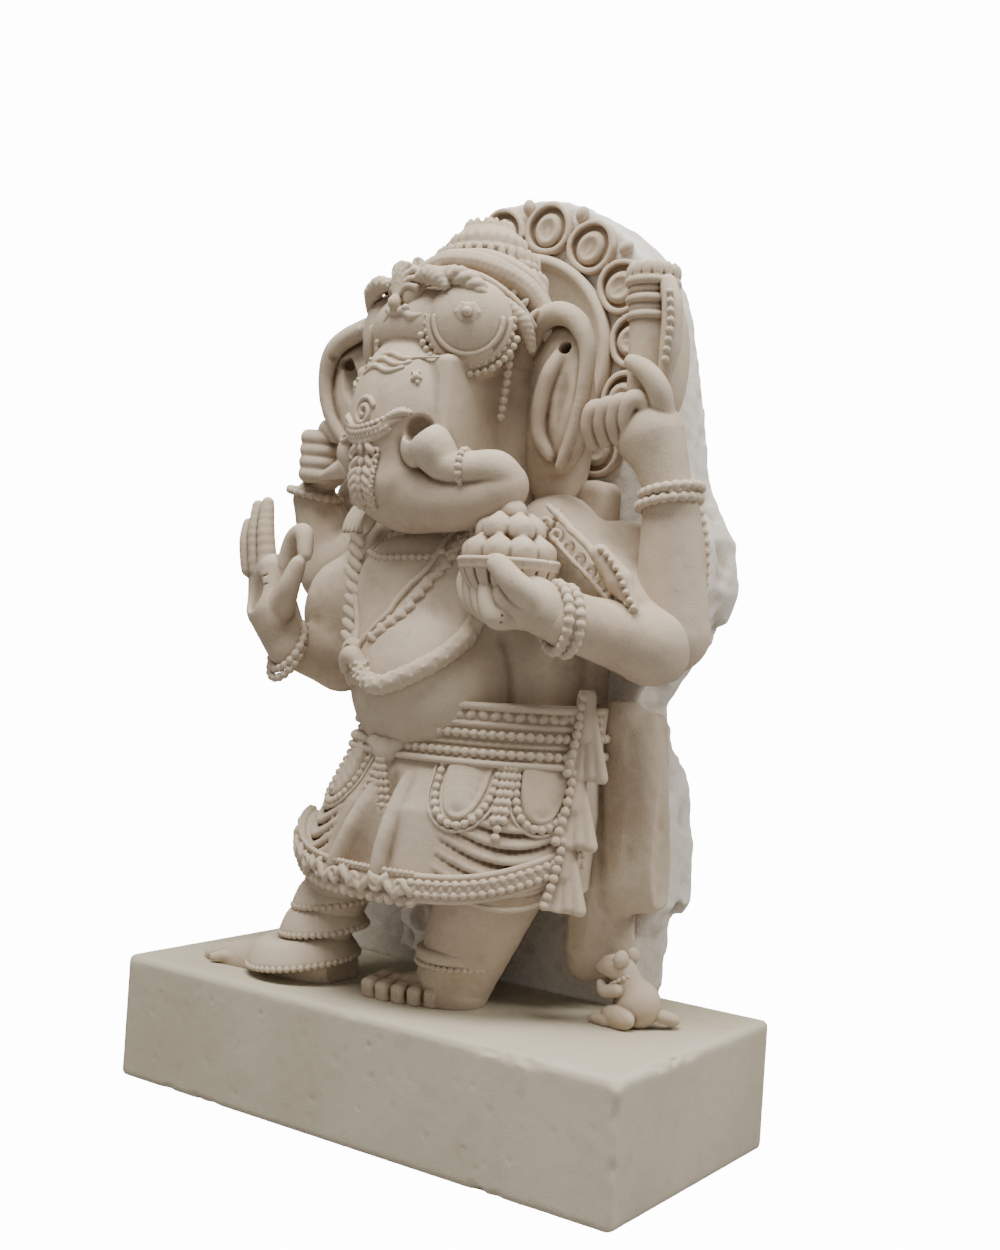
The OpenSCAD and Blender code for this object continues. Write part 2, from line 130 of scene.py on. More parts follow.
def sandstone_group():
    """The stone's look: its own blotches, grains and pits, with painted shade in hollows and a painted
    highlight on convex edges.
    """
    group = bpy.data.node_groups.new("sandstone", "ShaderNodeTree")
    face = group.interface
    for label in ("Pale", "Warm", "Shade"):
        face.new_socket(label, in_out="INPUT", socket_type="NodeSocketColor")
    for label in ("Blotch", "Grain", "Tooling"):
        face.new_socket(label, in_out="INPUT", socket_type="NodeSocketFloat")
    for label, kind in (("Color", "NodeSocketColor"), ("Roughness", "NodeSocketFloat"),
                        ("Height", "NodeSocketFloat")):
        face.new_socket(label, in_out="OUTPUT", socket_type=kind)
    nodes, links = group.nodes, group.links

    def add(kind, **values):
        made = nodes.new(kind)
        for key, value in values.items():
            setattr(made, key, value)
        return made

    def noise(scale, detail, rough=0.55):
        made = add("ShaderNodeTexNoise")
        made.inputs["Detail"].default_value, made.inputs["Roughness"].default_value = detail, rough
        links.new(where.outputs["Object"], made.inputs["Vector"])
        if isinstance(scale, float):
            made.inputs["Scale"].default_value = scale
        else:
            links.new(scale, made.inputs["Scale"])
        return made.outputs["Fac"]

    def ramp(value, low, high):
        made = add("ShaderNodeMapRange")
        made.inputs["From Min"].default_value, made.inputs["From Max"].default_value = low, high
        links.new(value, made.inputs["Value"])
        return made.outputs["Result"]

    def mix(kind, factor, a, b):
        made = add("ShaderNodeMix", data_type="RGBA", blend_type=kind)
        for socket, value in ((made.inputs[0], factor), (made.inputs[6], a), (made.inputs[7], b)):
            if isinstance(value, (float, tuple)):
                socket.default_value = value
            else:
                links.new(value, socket)
        return made.outputs[2]

    def maths(kind, a, b):
        made = add("ShaderNodeMath", operation=kind)
        for socket, value in zip(made.inputs, (a, b)):
            if isinstance(value, float):
                socket.default_value = value
            else:
                links.new(value, socket)
        return made.outputs[0]

    given, where, made = add("NodeGroupInput"), add("ShaderNodeTexCoord"), add("NodeGroupOutput")
    carved = add("ShaderNodeAttribute", attribute_name="hollow")
    blotch = ramp(noise(given.outputs["Blotch"], 4.0), 0.35, 0.68)
    grain = noise(given.outputs["Grain"], 3.0, 0.6)
    stain = ramp(noise(46.0, 6.0, 0.7), 0.52, 0.78)
    tone = mix("MIX", blotch, given.outputs["Warm"], given.outputs["Pale"])
    tone = mix("MIX", maths("MULTIPLY", stain, 0.26), tone, given.outputs["Shade"])
    # Painted shade: the hollow mark darkens concave places towards Shade. Painted highlight: it mixes convex
    # places towards Pale, and meshes without the mark take that highlight all over.
    tone = mix("MIX", ramp(carved.outputs["Fac"], 0.5, 0.9), tone, given.outputs["Shade"])
    tone = mix("MIX", maths("MULTIPLY", ramp(carved.outputs["Fac"], 0.46, 0.1), 0.55), tone,
               given.outputs["Pale"])
    speck = ramp(grain, 0.3, 0.7)
    tone = mix("MULTIPLY", 0.22, tone, mix("MIX", speck, (0.55, 0.52, 0.48, 1), (1.0, 1.0, 1.0, 1)))
    links.new(tone, made.inputs["Color"])
    links.new(maths("ADD", maths("MULTIPLY", grain, 0.2), 0.76), made.inputs["Roughness"])
    pits = add("ShaderNodeTexVoronoi")
    pits.inputs["Scale"].default_value = 420.0
    links.new(where.outputs["Object"], pits.inputs["Vector"])
    tooled = maths("MULTIPLY", noise(170.0, 3.0), given.outputs["Tooling"])
    holes = maths("MULTIPLY", ramp(pits.outputs["Distance"], 0.0, 0.28), 0.35)
    links.new(maths("ADD", maths("ADD", maths("MULTIPLY", grain, 0.4), tooled), holes),
              made.inputs["Height"])
    return group


SANDSTONE = sandstone_group()


def stone_material(name, pale, warm, shade, blotch, grain, tooling, depth):
    """A Principled stone that takes its colour, roughness and relief from the sandstone group."""
    made = bpy.data.materials.new(name)
    made.use_nodes = True
    nodes, links = made.node_tree.nodes, made.node_tree.links
    shader = nodes["Principled BSDF"]
    stone = nodes.new("ShaderNodeGroup")
    stone.node_tree = SANDSTONE
    for label, value in (("Pale", pale), ("Warm", warm), ("Shade", shade)):
        stone.inputs[label].default_value = (*value, 1)
    for label, value in (("Blotch", blotch), ("Grain", grain), ("Tooling", tooling)):
        stone.inputs[label].default_value = value
    bump = nodes.new("ShaderNodeBump")
    bump.inputs["Strength"].default_value = 0.7
    bump.inputs["Distance"].default_value = depth * MM
    links.new(stone.outputs["Height"], bump.inputs["Height"])
    links.new(bump.outputs["Normal"], shader.inputs["Normal"])
    links.new(stone.outputs["Color"], shader.inputs["Base Color"])
    links.new(stone.outputs["Roughness"], shader.inputs["Roughness"])
    shader.inputs["Specular IOR Level"].default_value = 0.25
    return made


sawn_stone = stone_material("sawn_sandstone", pale=(0.5, 0.455, 0.35), warm=(0.435, 0.385, 0.285),
                            shade=(0.24, 0.18, 0.12), blotch=9.0, grain=1300.0, tooling=0.12, depth=0.4)


# The share of faces that a carving keeps: its even mesh is finer than its shape needs.
KEPT_FACES = 0.5


def place_piece(name, mesh, material, slot, *nodes):
    """Puts a finished mesh into the scene as a piece that stands for its CAD nodes; carvings are thinned."""
    piece = bpy.data.objects.new(name, mesh)
    bpy.context.collection.objects.link(piece)
    mesh.materials.clear()
    mesh.materials.append(material)
    mesh.polygons.foreach_set("use_smooth", [True] * len(mesh.polygons))
    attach(piece, "root")
    if "hollow" in mesh.attributes:
        thinner = piece.modifiers.new("thinner", "DECIMATE")
        thinner.ratio = KEPT_FACES
    if nodes:
        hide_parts(*nodes)
    return piece


def as_mesh(name, points, faces):
    """A mesh from points in millimetres and an array of faces with one corner count."""
    points, faces = np.asarray(points, np.float64) * MM, np.asarray(faces, np.int32)
    mesh = bpy.data.meshes.new(name)
    mesh.vertices.add(len(points))
    mesh.vertices.foreach_set("co", points.astype(np.float32).ravel())
    corners = faces.shape[1]
    mesh.loops.add(faces.size)
    mesh.loops.foreach_set("vertex_index", faces.ravel())
    mesh.polygons.add(len(faces))
    mesh.polygons.foreach_set("loop_start", np.arange(0, faces.size, corners, dtype=np.int32))
    mesh.update(calc_edges=True)
    mesh.validate()
    return mesh


class Carving:
    """A block of stone as a distance field in millimetres: rough it out with add, then cut."""

    def __init__(self, grain):
        self.grain, self.steps = grain, []

    def add(self, shape, blend=0.0):
        self.steps.append((shape, blend, 1))
        return self

    def cut(self, shape, blend=0.0):
        self.steps.append((shape, blend, -1))
        return self

    def only(self, shape, blend=0.0):
        """Keeps only what lies inside the shape."""
        self.steps.append((shape, blend, 0))
        return self

    def carve(self):
        adds = [shape for shape, _, sign in self.steps if sign == 1]
        low = np.min([shape[0] for shape in adds], axis=0) - 6 * self.grain
        high = np.max([shape[1] for shape in adds], axis=0) + 6 * self.grain
        count = np.ceil((high - low) / self.grain).astype(int) + 1
        field = np.full(count, 60.0, np.float32)
        axes = [(low[i] + self.grain * np.arange(count[i])).astype(np.float32) for i in range(3)]
        for (lo, hi, distance), blend, sign in self.steps:
            if sign == 0:
                start, stop = [0] * 3, list(count)
            else:
                edge = blend + 4 * self.grain + 3
                start = [int(max(0, (lo[i] - edge - low[i]) // self.grain)) for i in range(3)]
                stop = [int(min(count[i], (hi[i] + edge - low[i]) // self.grain + 2)) for i in range(3)]
            if any(a >= b for a, b in zip(start, stop)):
                continue
            window = tuple(slice(a, b) for a, b in zip(start, stop))
            x, y, z = (axes[i][window[i]].reshape([-1 if j == i else 1 for j in range(3)])
                       for i in range(3))
            new, old = distance(x, y, z), field[window]
            if sign == 1:
                a, b, way = old, new, 1
            else:
                a, b, way = -old, (-new if sign == 0 else new), -1
            if blend:
                h = np.clip(0.5 + 0.5 * (b - a) / blend, 0, 1)
                result = b * (1 - h) + a * h - blend * h * (1 - h)
            else:
                result = np.minimum(a, b)
            field[window] = result * way
        return low, field

    def mesh(self, name, place=None, uneven=0.0):
        """The surface as a mesh with its hollows marked for painted shade and its convex edges for a painted
        highlight, turned by a matrix if one is given.
        """
        low, field = self.carve()
        band = 3 * self.grain
        if uneven:
            steps = [self.grain * np.arange(count) for count in field.shape]
            x, y, z = (low[i] + steps[i].reshape([-1 if j == i else 1 for j in range(3)]) for i in range(3))
            waves = (np.sin(x * 0.31 + 1.7 * np.sin(z * 0.13)) * np.sin(y * 0.27 + z * 0.11)
                     * np.sin(z * 0.23 + 1.3 * np.sin(x * 0.17 + y * 0.09)))
            field += uneven * waves.astype(np.float32)
        field = np.clip(field, -band, band)
        grid = openvdb.FloatGrid(band)
        grid.copyFromArray(field)
        points, _, faces = grid.convertToPolygons(0.0, 0.0)
        soft = field
        for step in (1, 2, 2):
            for axis in range(3):
                soft = (np.roll(soft, step, axis) + soft + np.roll(soft, -step, axis)) / 3
        cell = np.clip(np.floor(points).astype(int), 0, np.array(field.shape) - 2)
        part, value = points - cell, 0
        for corner in np.ndindex(2, 2, 2):
            weight = np.prod(np.where(corner, part, 1 - part), axis=1)
            value = value + weight * soft[tuple((cell + corner).T)]
        # The hollow mark is above a half in concave places, which get painted shade, and below it on convex
        # edges, which get a painted highlight.
        hollow = 0.5 - 0.5 * value / self.grain
        points = points * self.grain + low
        if place is not None:
            turn = np.array(place)
            points = points @ turn[:3, :3].T + turn[:3, 3]
        mesh = as_mesh(name, points, faces)
        mark = mesh.attributes.new("hollow", "FLOAT", "POINT")
        mark.data.foreach_set("value", np.clip(hollow, 0, 1).astype(np.float32))
        return mesh


def ball(centre, radius):
    """A round ball."""
    c = np.array(centre, float)

    def distance(x, y, z):
        return np.sqrt((x - c[0]) ** 2 + (y - c[1]) ** 2 + (z - c[2]) ** 2) - radius

    return c - radius, c + radius, distance


def limb(a, b, ra, rb=None):
    """A rounded, tapered rod from a to b."""
    a, b, rb = np.array(a, float), np.array(b, float), ra if rb is None else rb
    way, most = b - a, max(ra, rb)
    square = float(way @ way)

    def distance(x, y, z):
        px, py, pz = x - a[0], y - a[1], z - a[2]
        t = np.clip((px * way[0] + py * way[1] + pz * way[2]) / square, 0, 1)
        off = np.sqrt((px - t * way[0]) ** 2 + (py - t * way[1]) ** 2 + (pz - t * way[2]) ** 2)
        return off - (ra + (rb - ra) * t)

    return np.minimum(a, b) - most, np.maximum(a, b) + most, distance


def turned_axes(turn):
    """Rows of the matrix that takes world offsets into a shape turned by X, Y, Z angles in degrees."""
    rx, ry, rz = (math.radians(value) for value in turn)
    full = Matrix.Rotation(rz, 3, "Z") @ Matrix.Rotation(ry, 3, "Y") @ Matrix.Rotation(rx, 3, "X")
    return np.array(full.transposed())


def oval(centre, radii, turn=(0, 0, 0)):
    """An egg-like solid with three radii, turned in degrees."""
    c, r, m = np.array(centre, float), np.array(radii, float), turned_axes(turn)
    span = np.sqrt(((m.T * r) ** 2).sum(axis=1))

    def distance(x, y, z):
        p = [m[i, 0] * (x - c[0]) + m[i, 1] * (y - c[1]) + m[i, 2] * (z - c[2]) for i in range(3)]
        k0 = np.sqrt(sum((p[i] / r[i]) ** 2 for i in range(3)))
        k1 = np.sqrt(sum((p[i] / r[i] ** 2) ** 2 for i in range(3)))
        return k0 * (k0 - 1) / np.maximum(k1, 1e-6)

    return c - span, c + span, distance


def block(centre, half, turn=(0, 0, 0), edge=1.0):
    """A box of half sizes with rounded edges, turned in degrees."""
    c, h, m = np.array(centre, float), np.array(half, float), turned_axes(turn)
    span = np.abs(m.T) @ h

    def distance(x, y, z):
        p = [m[i, 0] * (x - c[0]) + m[i, 1] * (y - c[1]) + m[i, 2] * (z - c[2]) for i in range(3)]
        q = [np.abs(p[i]) - (h[i] - edge) for i in range(3)]
        outside = np.sqrt(sum(np.maximum(part, 0) ** 2 for part in q))
        return outside + np.minimum(np.maximum(np.maximum(q[0], q[1]), q[2]), 0) - edge

    return c - span, c + span, distance


def around(count):
    """Angles of equal steps round a circle, in radians."""
    return [2 * math.pi * step / count for step in range(count)]


def curve_points(control, count):
    """Points along a smooth curve through the control points."""
    p = np.array(control, float)
    if len(p) == 2:
        return p[0] + (p[1] - p[0]) * np.linspace(0, 1, count)[:, None]
    p = np.vstack([2 * p[0] - p[1], p, 2 * p[-1] - p[-2]])
    out = []
    for s in np.linspace(0, len(p) - 3 - 1e-9, count):
        i, t = int(s), s - int(s)
        a, b, c, d = p[i:i + 4]
        square, cube = (2 * a - 5 * b + 4 * c - d) * t ** 2, (3 * b - a - 3 * c + d) * t ** 3
        out.append(0.5 * (2 * b + (c - a) * t + square + cube))
    return np.array(out)


def rope(stone, control, radii, blend=0.0, count=None, cut=False):
    """Lays or cuts a smooth rod along the control points; radii follow them."""
    count = count or 6 * (len(control) - 1) + 1
    path = curve_points(control, count)
    radii = np.interp(np.linspace(0, 1, count), np.linspace(0, 1, np.size(radii)), np.atleast_1d(radii))
    act = stone.cut if cut else stone.add
    for i in range(count - 1):
        act(limb(path[i], path[i + 1], radii[i], radii[i + 1]), blend)
    return stone


base_low, base_high = node_box("plinth")
base_mid, base_half = (base_low + base_high) / 2, (base_high - base_low) / 2
edge_chips, face_pits = 46, 60
plinth = Carving(1.9).add(block(base_mid, base_half - (0.6, 0.6, 0.4), edge=4.0))
chips = np.random.default_rng(7)
for _ in range(edge_chips):
    side = chips.integers(0, 4)
    along = chips.uniform(-1, 1)
    edge_point = base_mid + base_half * [(along, -1, 1), (along, -1, -1), (1, along, 1),
                                         (1, -1, along)][side]
    stretch = [(2, 0.6, 0.6), (2, 0.6, 0.6), (0.6, 2, 0.6), (0.6, 0.6, 2)][side]
    spot = edge_point + chips.uniform(-1, 1, 3) * 1.5
    size = chips.uniform(2.2, 6.5, 3) * stretch
    plinth.cut(oval(spot, size, chips.uniform(-25, 25, 3)), 1.5)
near_corner = np.array([base_high[0], base_low[1], base_high[2]])
plinth.cut(oval(near_corner + (-1, -1, 2), (9, 9, 7), (20, 30, 0)), 2)
plinth.cut(oval(near_corner + (2, -2, -16), (6, 6, 11), (0, 12, 45)), 2)
plinth.cut(limb(near_corner * (1, 1, 0) + (3, -3, 4), near_corner * (1, 1, 0) + (3, -3, 30), 5, 3), 2)
far_corner = np.array([base_low[0], base_low[1], base_high[2]])
plinth.cut(limb(far_corner + (-5, -5, 8), far_corner * (1, 1, 0) + (-5, -5, -8), 8.5), 6)
for _ in range(face_pits):
    spot = base_low + (base_high - base_low) * chips.uniform(0.03, 0.97, 3)
    spot[1] = base_low[1] - 0.2
    plinth.cut(ball(spot, chips.uniform(0.9, 1.9)), 0.8)
place_piece("plinth_block", plinth.mesh("plinth_block", uneven=0.08), sawn_stone, "rough_stone", "plinth")

# ---------------------------------------------------------------------------
# Back slab: the rough stone left behind the figure, pitched off with a point
# chisel round its outline. Its front face carries the halo and the drapery.
# ---------------------------------------------------------------------------
rough_stone = stone_material("pitched_sandstone", pale=(0.7, 0.67, 0.61), warm=(0.58, 0.53, 0.45),
                             shade=(0.33, 0.26, 0.19), blotch=12.0, grain=1100.0, tooling=0.9, depth=1.1)


def extruded(outline, y_low, y_high, edge=2.0):
    """A plate of an XZ outline between two Y planes."""
    p = np.array(outline, float)

    def distance(x, y, z):
        best, inside = np.float32(1e9), False
        for i in range(len(p)):
            (ax, az), (bx, bz) = p[i - 1], p[i]
            ex, ez = bx - ax, bz - az
            t = np.clip(((x - ax) * ex + (z - az) * ez) / (ex * ex + ez * ez), 0, 1)
            best = np.minimum(best, (x - ax - t * ex) ** 2 + (z - az - t * ez) ** 2)
            inside = inside ^ (((az > z) != (bz > z)) & (x < (bx - ax) * (z - az) / (bz - az + 1e-9) + ax))
        flat = np.sqrt(best) * np.where(inside, -1, 1) + edge
        depth = np.abs(y - (y_low + y_high) / 2) - (y_high - y_low) / 2 + edge
        return np.sqrt(np.maximum(flat, 0) ** 2 + np.maximum(depth, 0) ** 2) + np.minimum(np.maximum(flat,
                depth), 0) - edge

    return np.array([p[:, 0].min(), y_low, p[:, 1].min()]), np.array([p[:, 0].max(), y_high,
                                                                      p[:, 1].max()]), distance


slab_low, slab_high = node_box("back_slab")
halo_low, halo_high = node_box("halo_plate")
halo_mid = (halo_low + halo_high) / 2
slab_side = [(117, base_high[2] - 3), (121, 128), (135, 149), (133, 190), (129, 222), (118, 250),
             (108, 276), (122, 300), (138, 320), (149, 336), (155, 352), (150, 386), (137, 408), (128, 428),
             (120, 480), (108, 536)]
crest = [(halo_mid[0] + 112 * math.cos(a), halo_mid[2] + (slab_high[2] - 0.6 - halo_mid[2]) * math.sin(a))
         for a in np.radians(np.arange(28, 153, 8))]
slab_outline = slab_side + crest + [(-x, z) for x, z in reversed(slab_side)]
slab = Carving(2.1).add(extruded(slab_outline, slab_low[1], slab_high[1] - 0.9, 4.0))
pitch = np.random.default_rng(3)
for x, z in curve_points(slab_side, 34):
    for side in (-1, 1):
        y = pitch.uniform(slab_low[1] + 8, slab_high[1] + 4)
        spot = (side * (x + pitch.uniform(3, 6)), y, z + pitch.uniform(-5, 5))
        size = (pitch.uniform(4, 7), pitch.uniform(9, 18), pitch.uniform(8, 16))
        slab.cut(oval(spot, size, (pitch.uniform(-30, 30), 0, pitch.uniform(-20, 20))), 3.0)
back_scars = 120
for _ in range(back_scars):
    spot = (pitch.uniform(-125, 125), slab_high[1] + pitch.uniform(1.5, 4), pitch.uniform(95, 600))
    size = (pitch.uniform(10, 22), pitch.uniform(3, 5.5), pitch.uniform(5, 10))
    slab.cut(oval(spot, size, (0, pitch.uniform(30, 70), 0)), 2.5)
place_piece("rough_back_slab", slab.mesh("rough_back_slab", uneven=0.7), rough_stone, "rough_stone",
            "back_slab")

# ---------------------------------------------------------------------------
# Body: chest, shoulders, neck and the great round belly, rubbed smooth with
# stone blocks after carving, and still one with the slab behind.
# ---------------------------------------------------------------------------
carved_stone = stone_material("rubbed_sandstone", pale=(0.54, 0.455, 0.35), warm=(0.44, 0.35, 0.255),
                              shade=(0.14, 0.09, 0.05), blotch=16.0, grain=1500.0, tooling=0.6, depth=0.6)


def carved_piece(name, stone, *nodes, place=None, uneven=0.0):
    """Meshes a carving and places it in the rubbed stone."""
    mesh = stone.mesh(name, place, uneven)
    place_piece(name, mesh, carved_stone, "carved_stone", *nodes)
    return mesh


slab_face = slab_low[1]
belly_low, belly_high = node_box("belly")
belly_mid = (belly_low + belly_high) / 2
body = Carving(1.3)
body.add(block((15, slab_face - 10, 330), (74, 16, 90), edge=8))
body.add(oval((24, 0, 292), (66, 46, 62)), 10)
body.add(oval(belly_mid + (-3, 1, 4), (58, 53, 56)), 2)
body.add(oval(belly_mid + (-15, 6, 20), (47, 48, 42)), 8)
body.add(oval((-12, -30, 338), (46, 34, 44), (0, 0, 8)), 16)
body.add(oval((30, -24, 342), (40, 32, 40)), 12)
body.add(limb((-48, 4, 366), (56, 8, 374), 26, 28), 16)
body.add(limb((0, -4, 372), (0, -2, 418), 36, 31), 12)
body.cut(oval(belly_mid + (-2, -57, -24), (3.4, 7, 3)), 2.5)
body_mesh = carved_piece("body_and_belly", body, "torso", "belly", uneven=0.2)

# ---------------------------------------------------------------------------
# Head and trunk: the broad trunk falls straight from the forehead, turns at
# the chin towards the sweets and curls back over itself to an open tip.
# ---------------------------------------------------------------------------
HEAD_TURN = Matrix.Translation((0, -5, 0)) @ Matrix.Rotation(math.radians(-13), 4, "Z")
BOTH = (-1, 1)


def on_head(points):
    """Row-frame places of points given in the turned head's own frame."""
    turn = np.array(HEAD_TURN)
    return np.atleast_2d(points) @ turn[:3, :3].T + turn[:3, 3]


def face_front(x, z):
    """Y of the broad front of the face in the head's own frame."""
    return -62 - 24 * math.sqrt(max(0.0, 1 - (x / 50) ** 2)) - 4 * math.exp(-((z - 440) / 30) ** 2)


head = Carving(0.95)
head.add(oval((0, 4, 500), (50, 42, 50)))
head.add(oval((0, 14, 440), (44, 40, 50)), 8)
head.add(block((0, -20, 440), (47, 42, 46), edge=5), 3)
head.add(oval((0, -46, 446), (46, 40, 60)), 3)
head.add(oval((0, -44, 408), (43, 40, 28)), 6)
head.add(oval((0, -22, 508), (54, 49, 32)), 2.5)
for side in BOTH:
    head.add(oval((side * 39, -32, 504), (24, 25, 31), (0, 0, side * 40)), 5)
    head.cut(oval((side * 50, -26, 440), (4, 26, 34)), 3)
    head.cut(oval((side * 34, -78, 427), (15, 7, 15), (0, 0, side * 30)), 4)
    head.add(oval((side * 33, -70, 427), (10, 10, 12.5), (0, 0, side * 30)), 1.0)
rope(head, [(0, -50, 404), (28, -51, 399), (54, -47, 397), (71, -41, 400), (80, -37, 407)],
     [25, 19, 15.5, 13.5, 12.2], 6)
rope(head, [(80, -37, 407), (79, -45, 415), (68, -53, 415), (57, -59, 415), (49, -62, 418)],
     [12.2, 11, 10, 9.6, 10.4], 1.6)
rope(head, [(49, -62, 418), (43, -67, 428)], [10.4, 13.4], 2)
head.cut(limb((47, -63, 421), (37, -72, 437), 5.6, 10), 1.5)
head_mesh = carved_piece("head_and_trunk", head, "head", "trunk", place=HEAD_TURN, uneven=0.1)


def skin(mesh):
    """The surface of a mesh, in millimetres, for laying strands on."""
    points = np.empty(3 * len(mesh.vertices), np.float32)
    mesh.vertices.foreach_get("co", points)
    corners = np.empty(len(mesh.loops), np.int32)
    mesh.loops.foreach_get("vertex_index", corners)
    return BVHTree.FromPolygons((points.reshape(-1, 3) / MM).tolist(),
                                corners.reshape(len(mesh.polygons), -1).tolist())


def laid(surface, points, lift=0.0):
    """The points moved to the nearest place on a surface and lifted off it."""
    out = []
    for point in points:
        spot, normal, _, _ = surface.find_nearest(Vector(point))
        out.append(np.array(spot) + lift * np.array(normal))
    return np.array(out)


face_skin = skin(head_mesh)


def hoop(centre, radius, turn, start=0, stop=360, count=72):
    """Points round a circle that lies across its own turned Z axis."""
    m = turned_axes(turn)
    angles = np.radians(np.linspace(start, stop, count, endpoint=stop - start < 360))
    flat = np.stack([radius * np.cos(angles), radius * np.sin(angles), 0 * angles], 1)
    return np.array(centre) + flat @ m


def on_face(points, lift=0.0):
    """Points of the head's own frame laid on the carved face."""
    return laid(face_skin, on_head(points), lift)


face = Carving(0.65)
for side in BOTH:
    brow = [(side * x, face_front(x, 446) + 1, z) for x, z in ((12, 438), (22, 445), (30, 448), (37, 448))]
    rope(face, on_face(curve_points(brow, 12), 0.5), [1.2, 2.2, 2.4, 0.9], 0.8, count=24)
    rope(face, on_face(curve_points(brow, 12)[:9] - (0, 0, 4.6), 0.3), [0.8, 1.4, 1.2, 0.6], 0.6, count=24)
    for step in range(8):
        x, z = 17 + 2.7 * step, 441 + 8 * math.sin(0.3 * step)
        spots = on_face([(side * x, face_front(x, 446), z + rise) for rise in (-2.6, 2.2)], 1.0)
        face.add(limb(spots[0], spots[1], 0.7), 0.3)
    mark = on_face([(side * 37, face_front(37, 474), 474)], 0.8)[0]
    face.add(ball(mark, 2.4), 0.8)
    for a in around(5):
        spot = (side * (37 + 4.4 * math.cos(a)), face_front(37, 474), 474 + 4.4 * math.sin(a))
        face.add(ball(on_face([spot], 0.6)[0], 1.5), 0.5)
for line in range(3):
    across = range(-24 + 4 * line, 40 - 6 * line, 3)
    wave = [(x, face_front(x, 486), 491 - 6 * line + 2.4 * math.sin(x / 5.2 + line)) for x in across]
    rope(face, on_face(wave, 0.1), [0.7, 1.6, 1.6, 0.7], 1.0, count=36)
coil = zip(np.linspace(0.4, 10.5, 30), np.linspace(10.5, 2, 30))
spiral = [(-2 + r * math.cos(a), face_front(6, 445), 449 + r * math.sin(a)) for a, r in coil]
rope(face, on_face(spiral, 0.2), [1.8, 1.6, 1.4], 0.8, count=56)


def sag(x):
    """How far the band across the trunk's root has risen at X from its lowest point."""
    return 6.5 * (abs(x + 4) / 28) ** 2


band = [(x, face_front(x, 432), 436 + sag(x)) for x in range(-36, 25, 5)]
rope(face, on_face(band, 0.4), [1.4, 2.2, 2.2, 1.4], 0.8, count=40)
rope(face, on_face([(x, y, z - 6) for x, y, z in band], 0.3), [1.2, 1.7, 1.7, 1.0], 0.8, count=40)
for leaf in range(15):
    x = -34 + 3.9 * leaf
    spot = on_face([(x, face_front(x, 432), 433 + sag(x))], 0.6)[0]
    face.add(oval(spot, (1.6, 2.2, 2.7), (0, 28, 0)), 0.5)
for row in range(7):
    for swing in BOTH:
        leaf, curl = (9.5 - row * 0.5, -90, 425 - 6.4 * row), (14 - row, -86, 423 - 6.4 * row)
        spots = on_face([(-4 + swing * x, y, z) for x, y, z in (leaf, curl)], 0.8)
        face.add(oval(spots[0], (5.4, 3.0, 2.7), (0, swing * (38 + 10 * (row % 2)), -13)), 0.9)
        rope(face, hoop(spots[1], 2.6, (90, 0, -13), 20, 320, count=9), [1.2], 0.6, count=12)
    face.add(oval(on_face([(-4, -92, 425 - 6.4 * row)], 1.0)[0], (2.4, 2.6, 3.6)), 0.8)
carved_piece("face_carvings", face)

# ---------------------------------------------------------------------------
# Beads: rows of round beads that the carver left proud on a round cord. Every
# later strand uses the same rows. The two rows round the trunk come first.
# ---------------------------------------------------------------------------


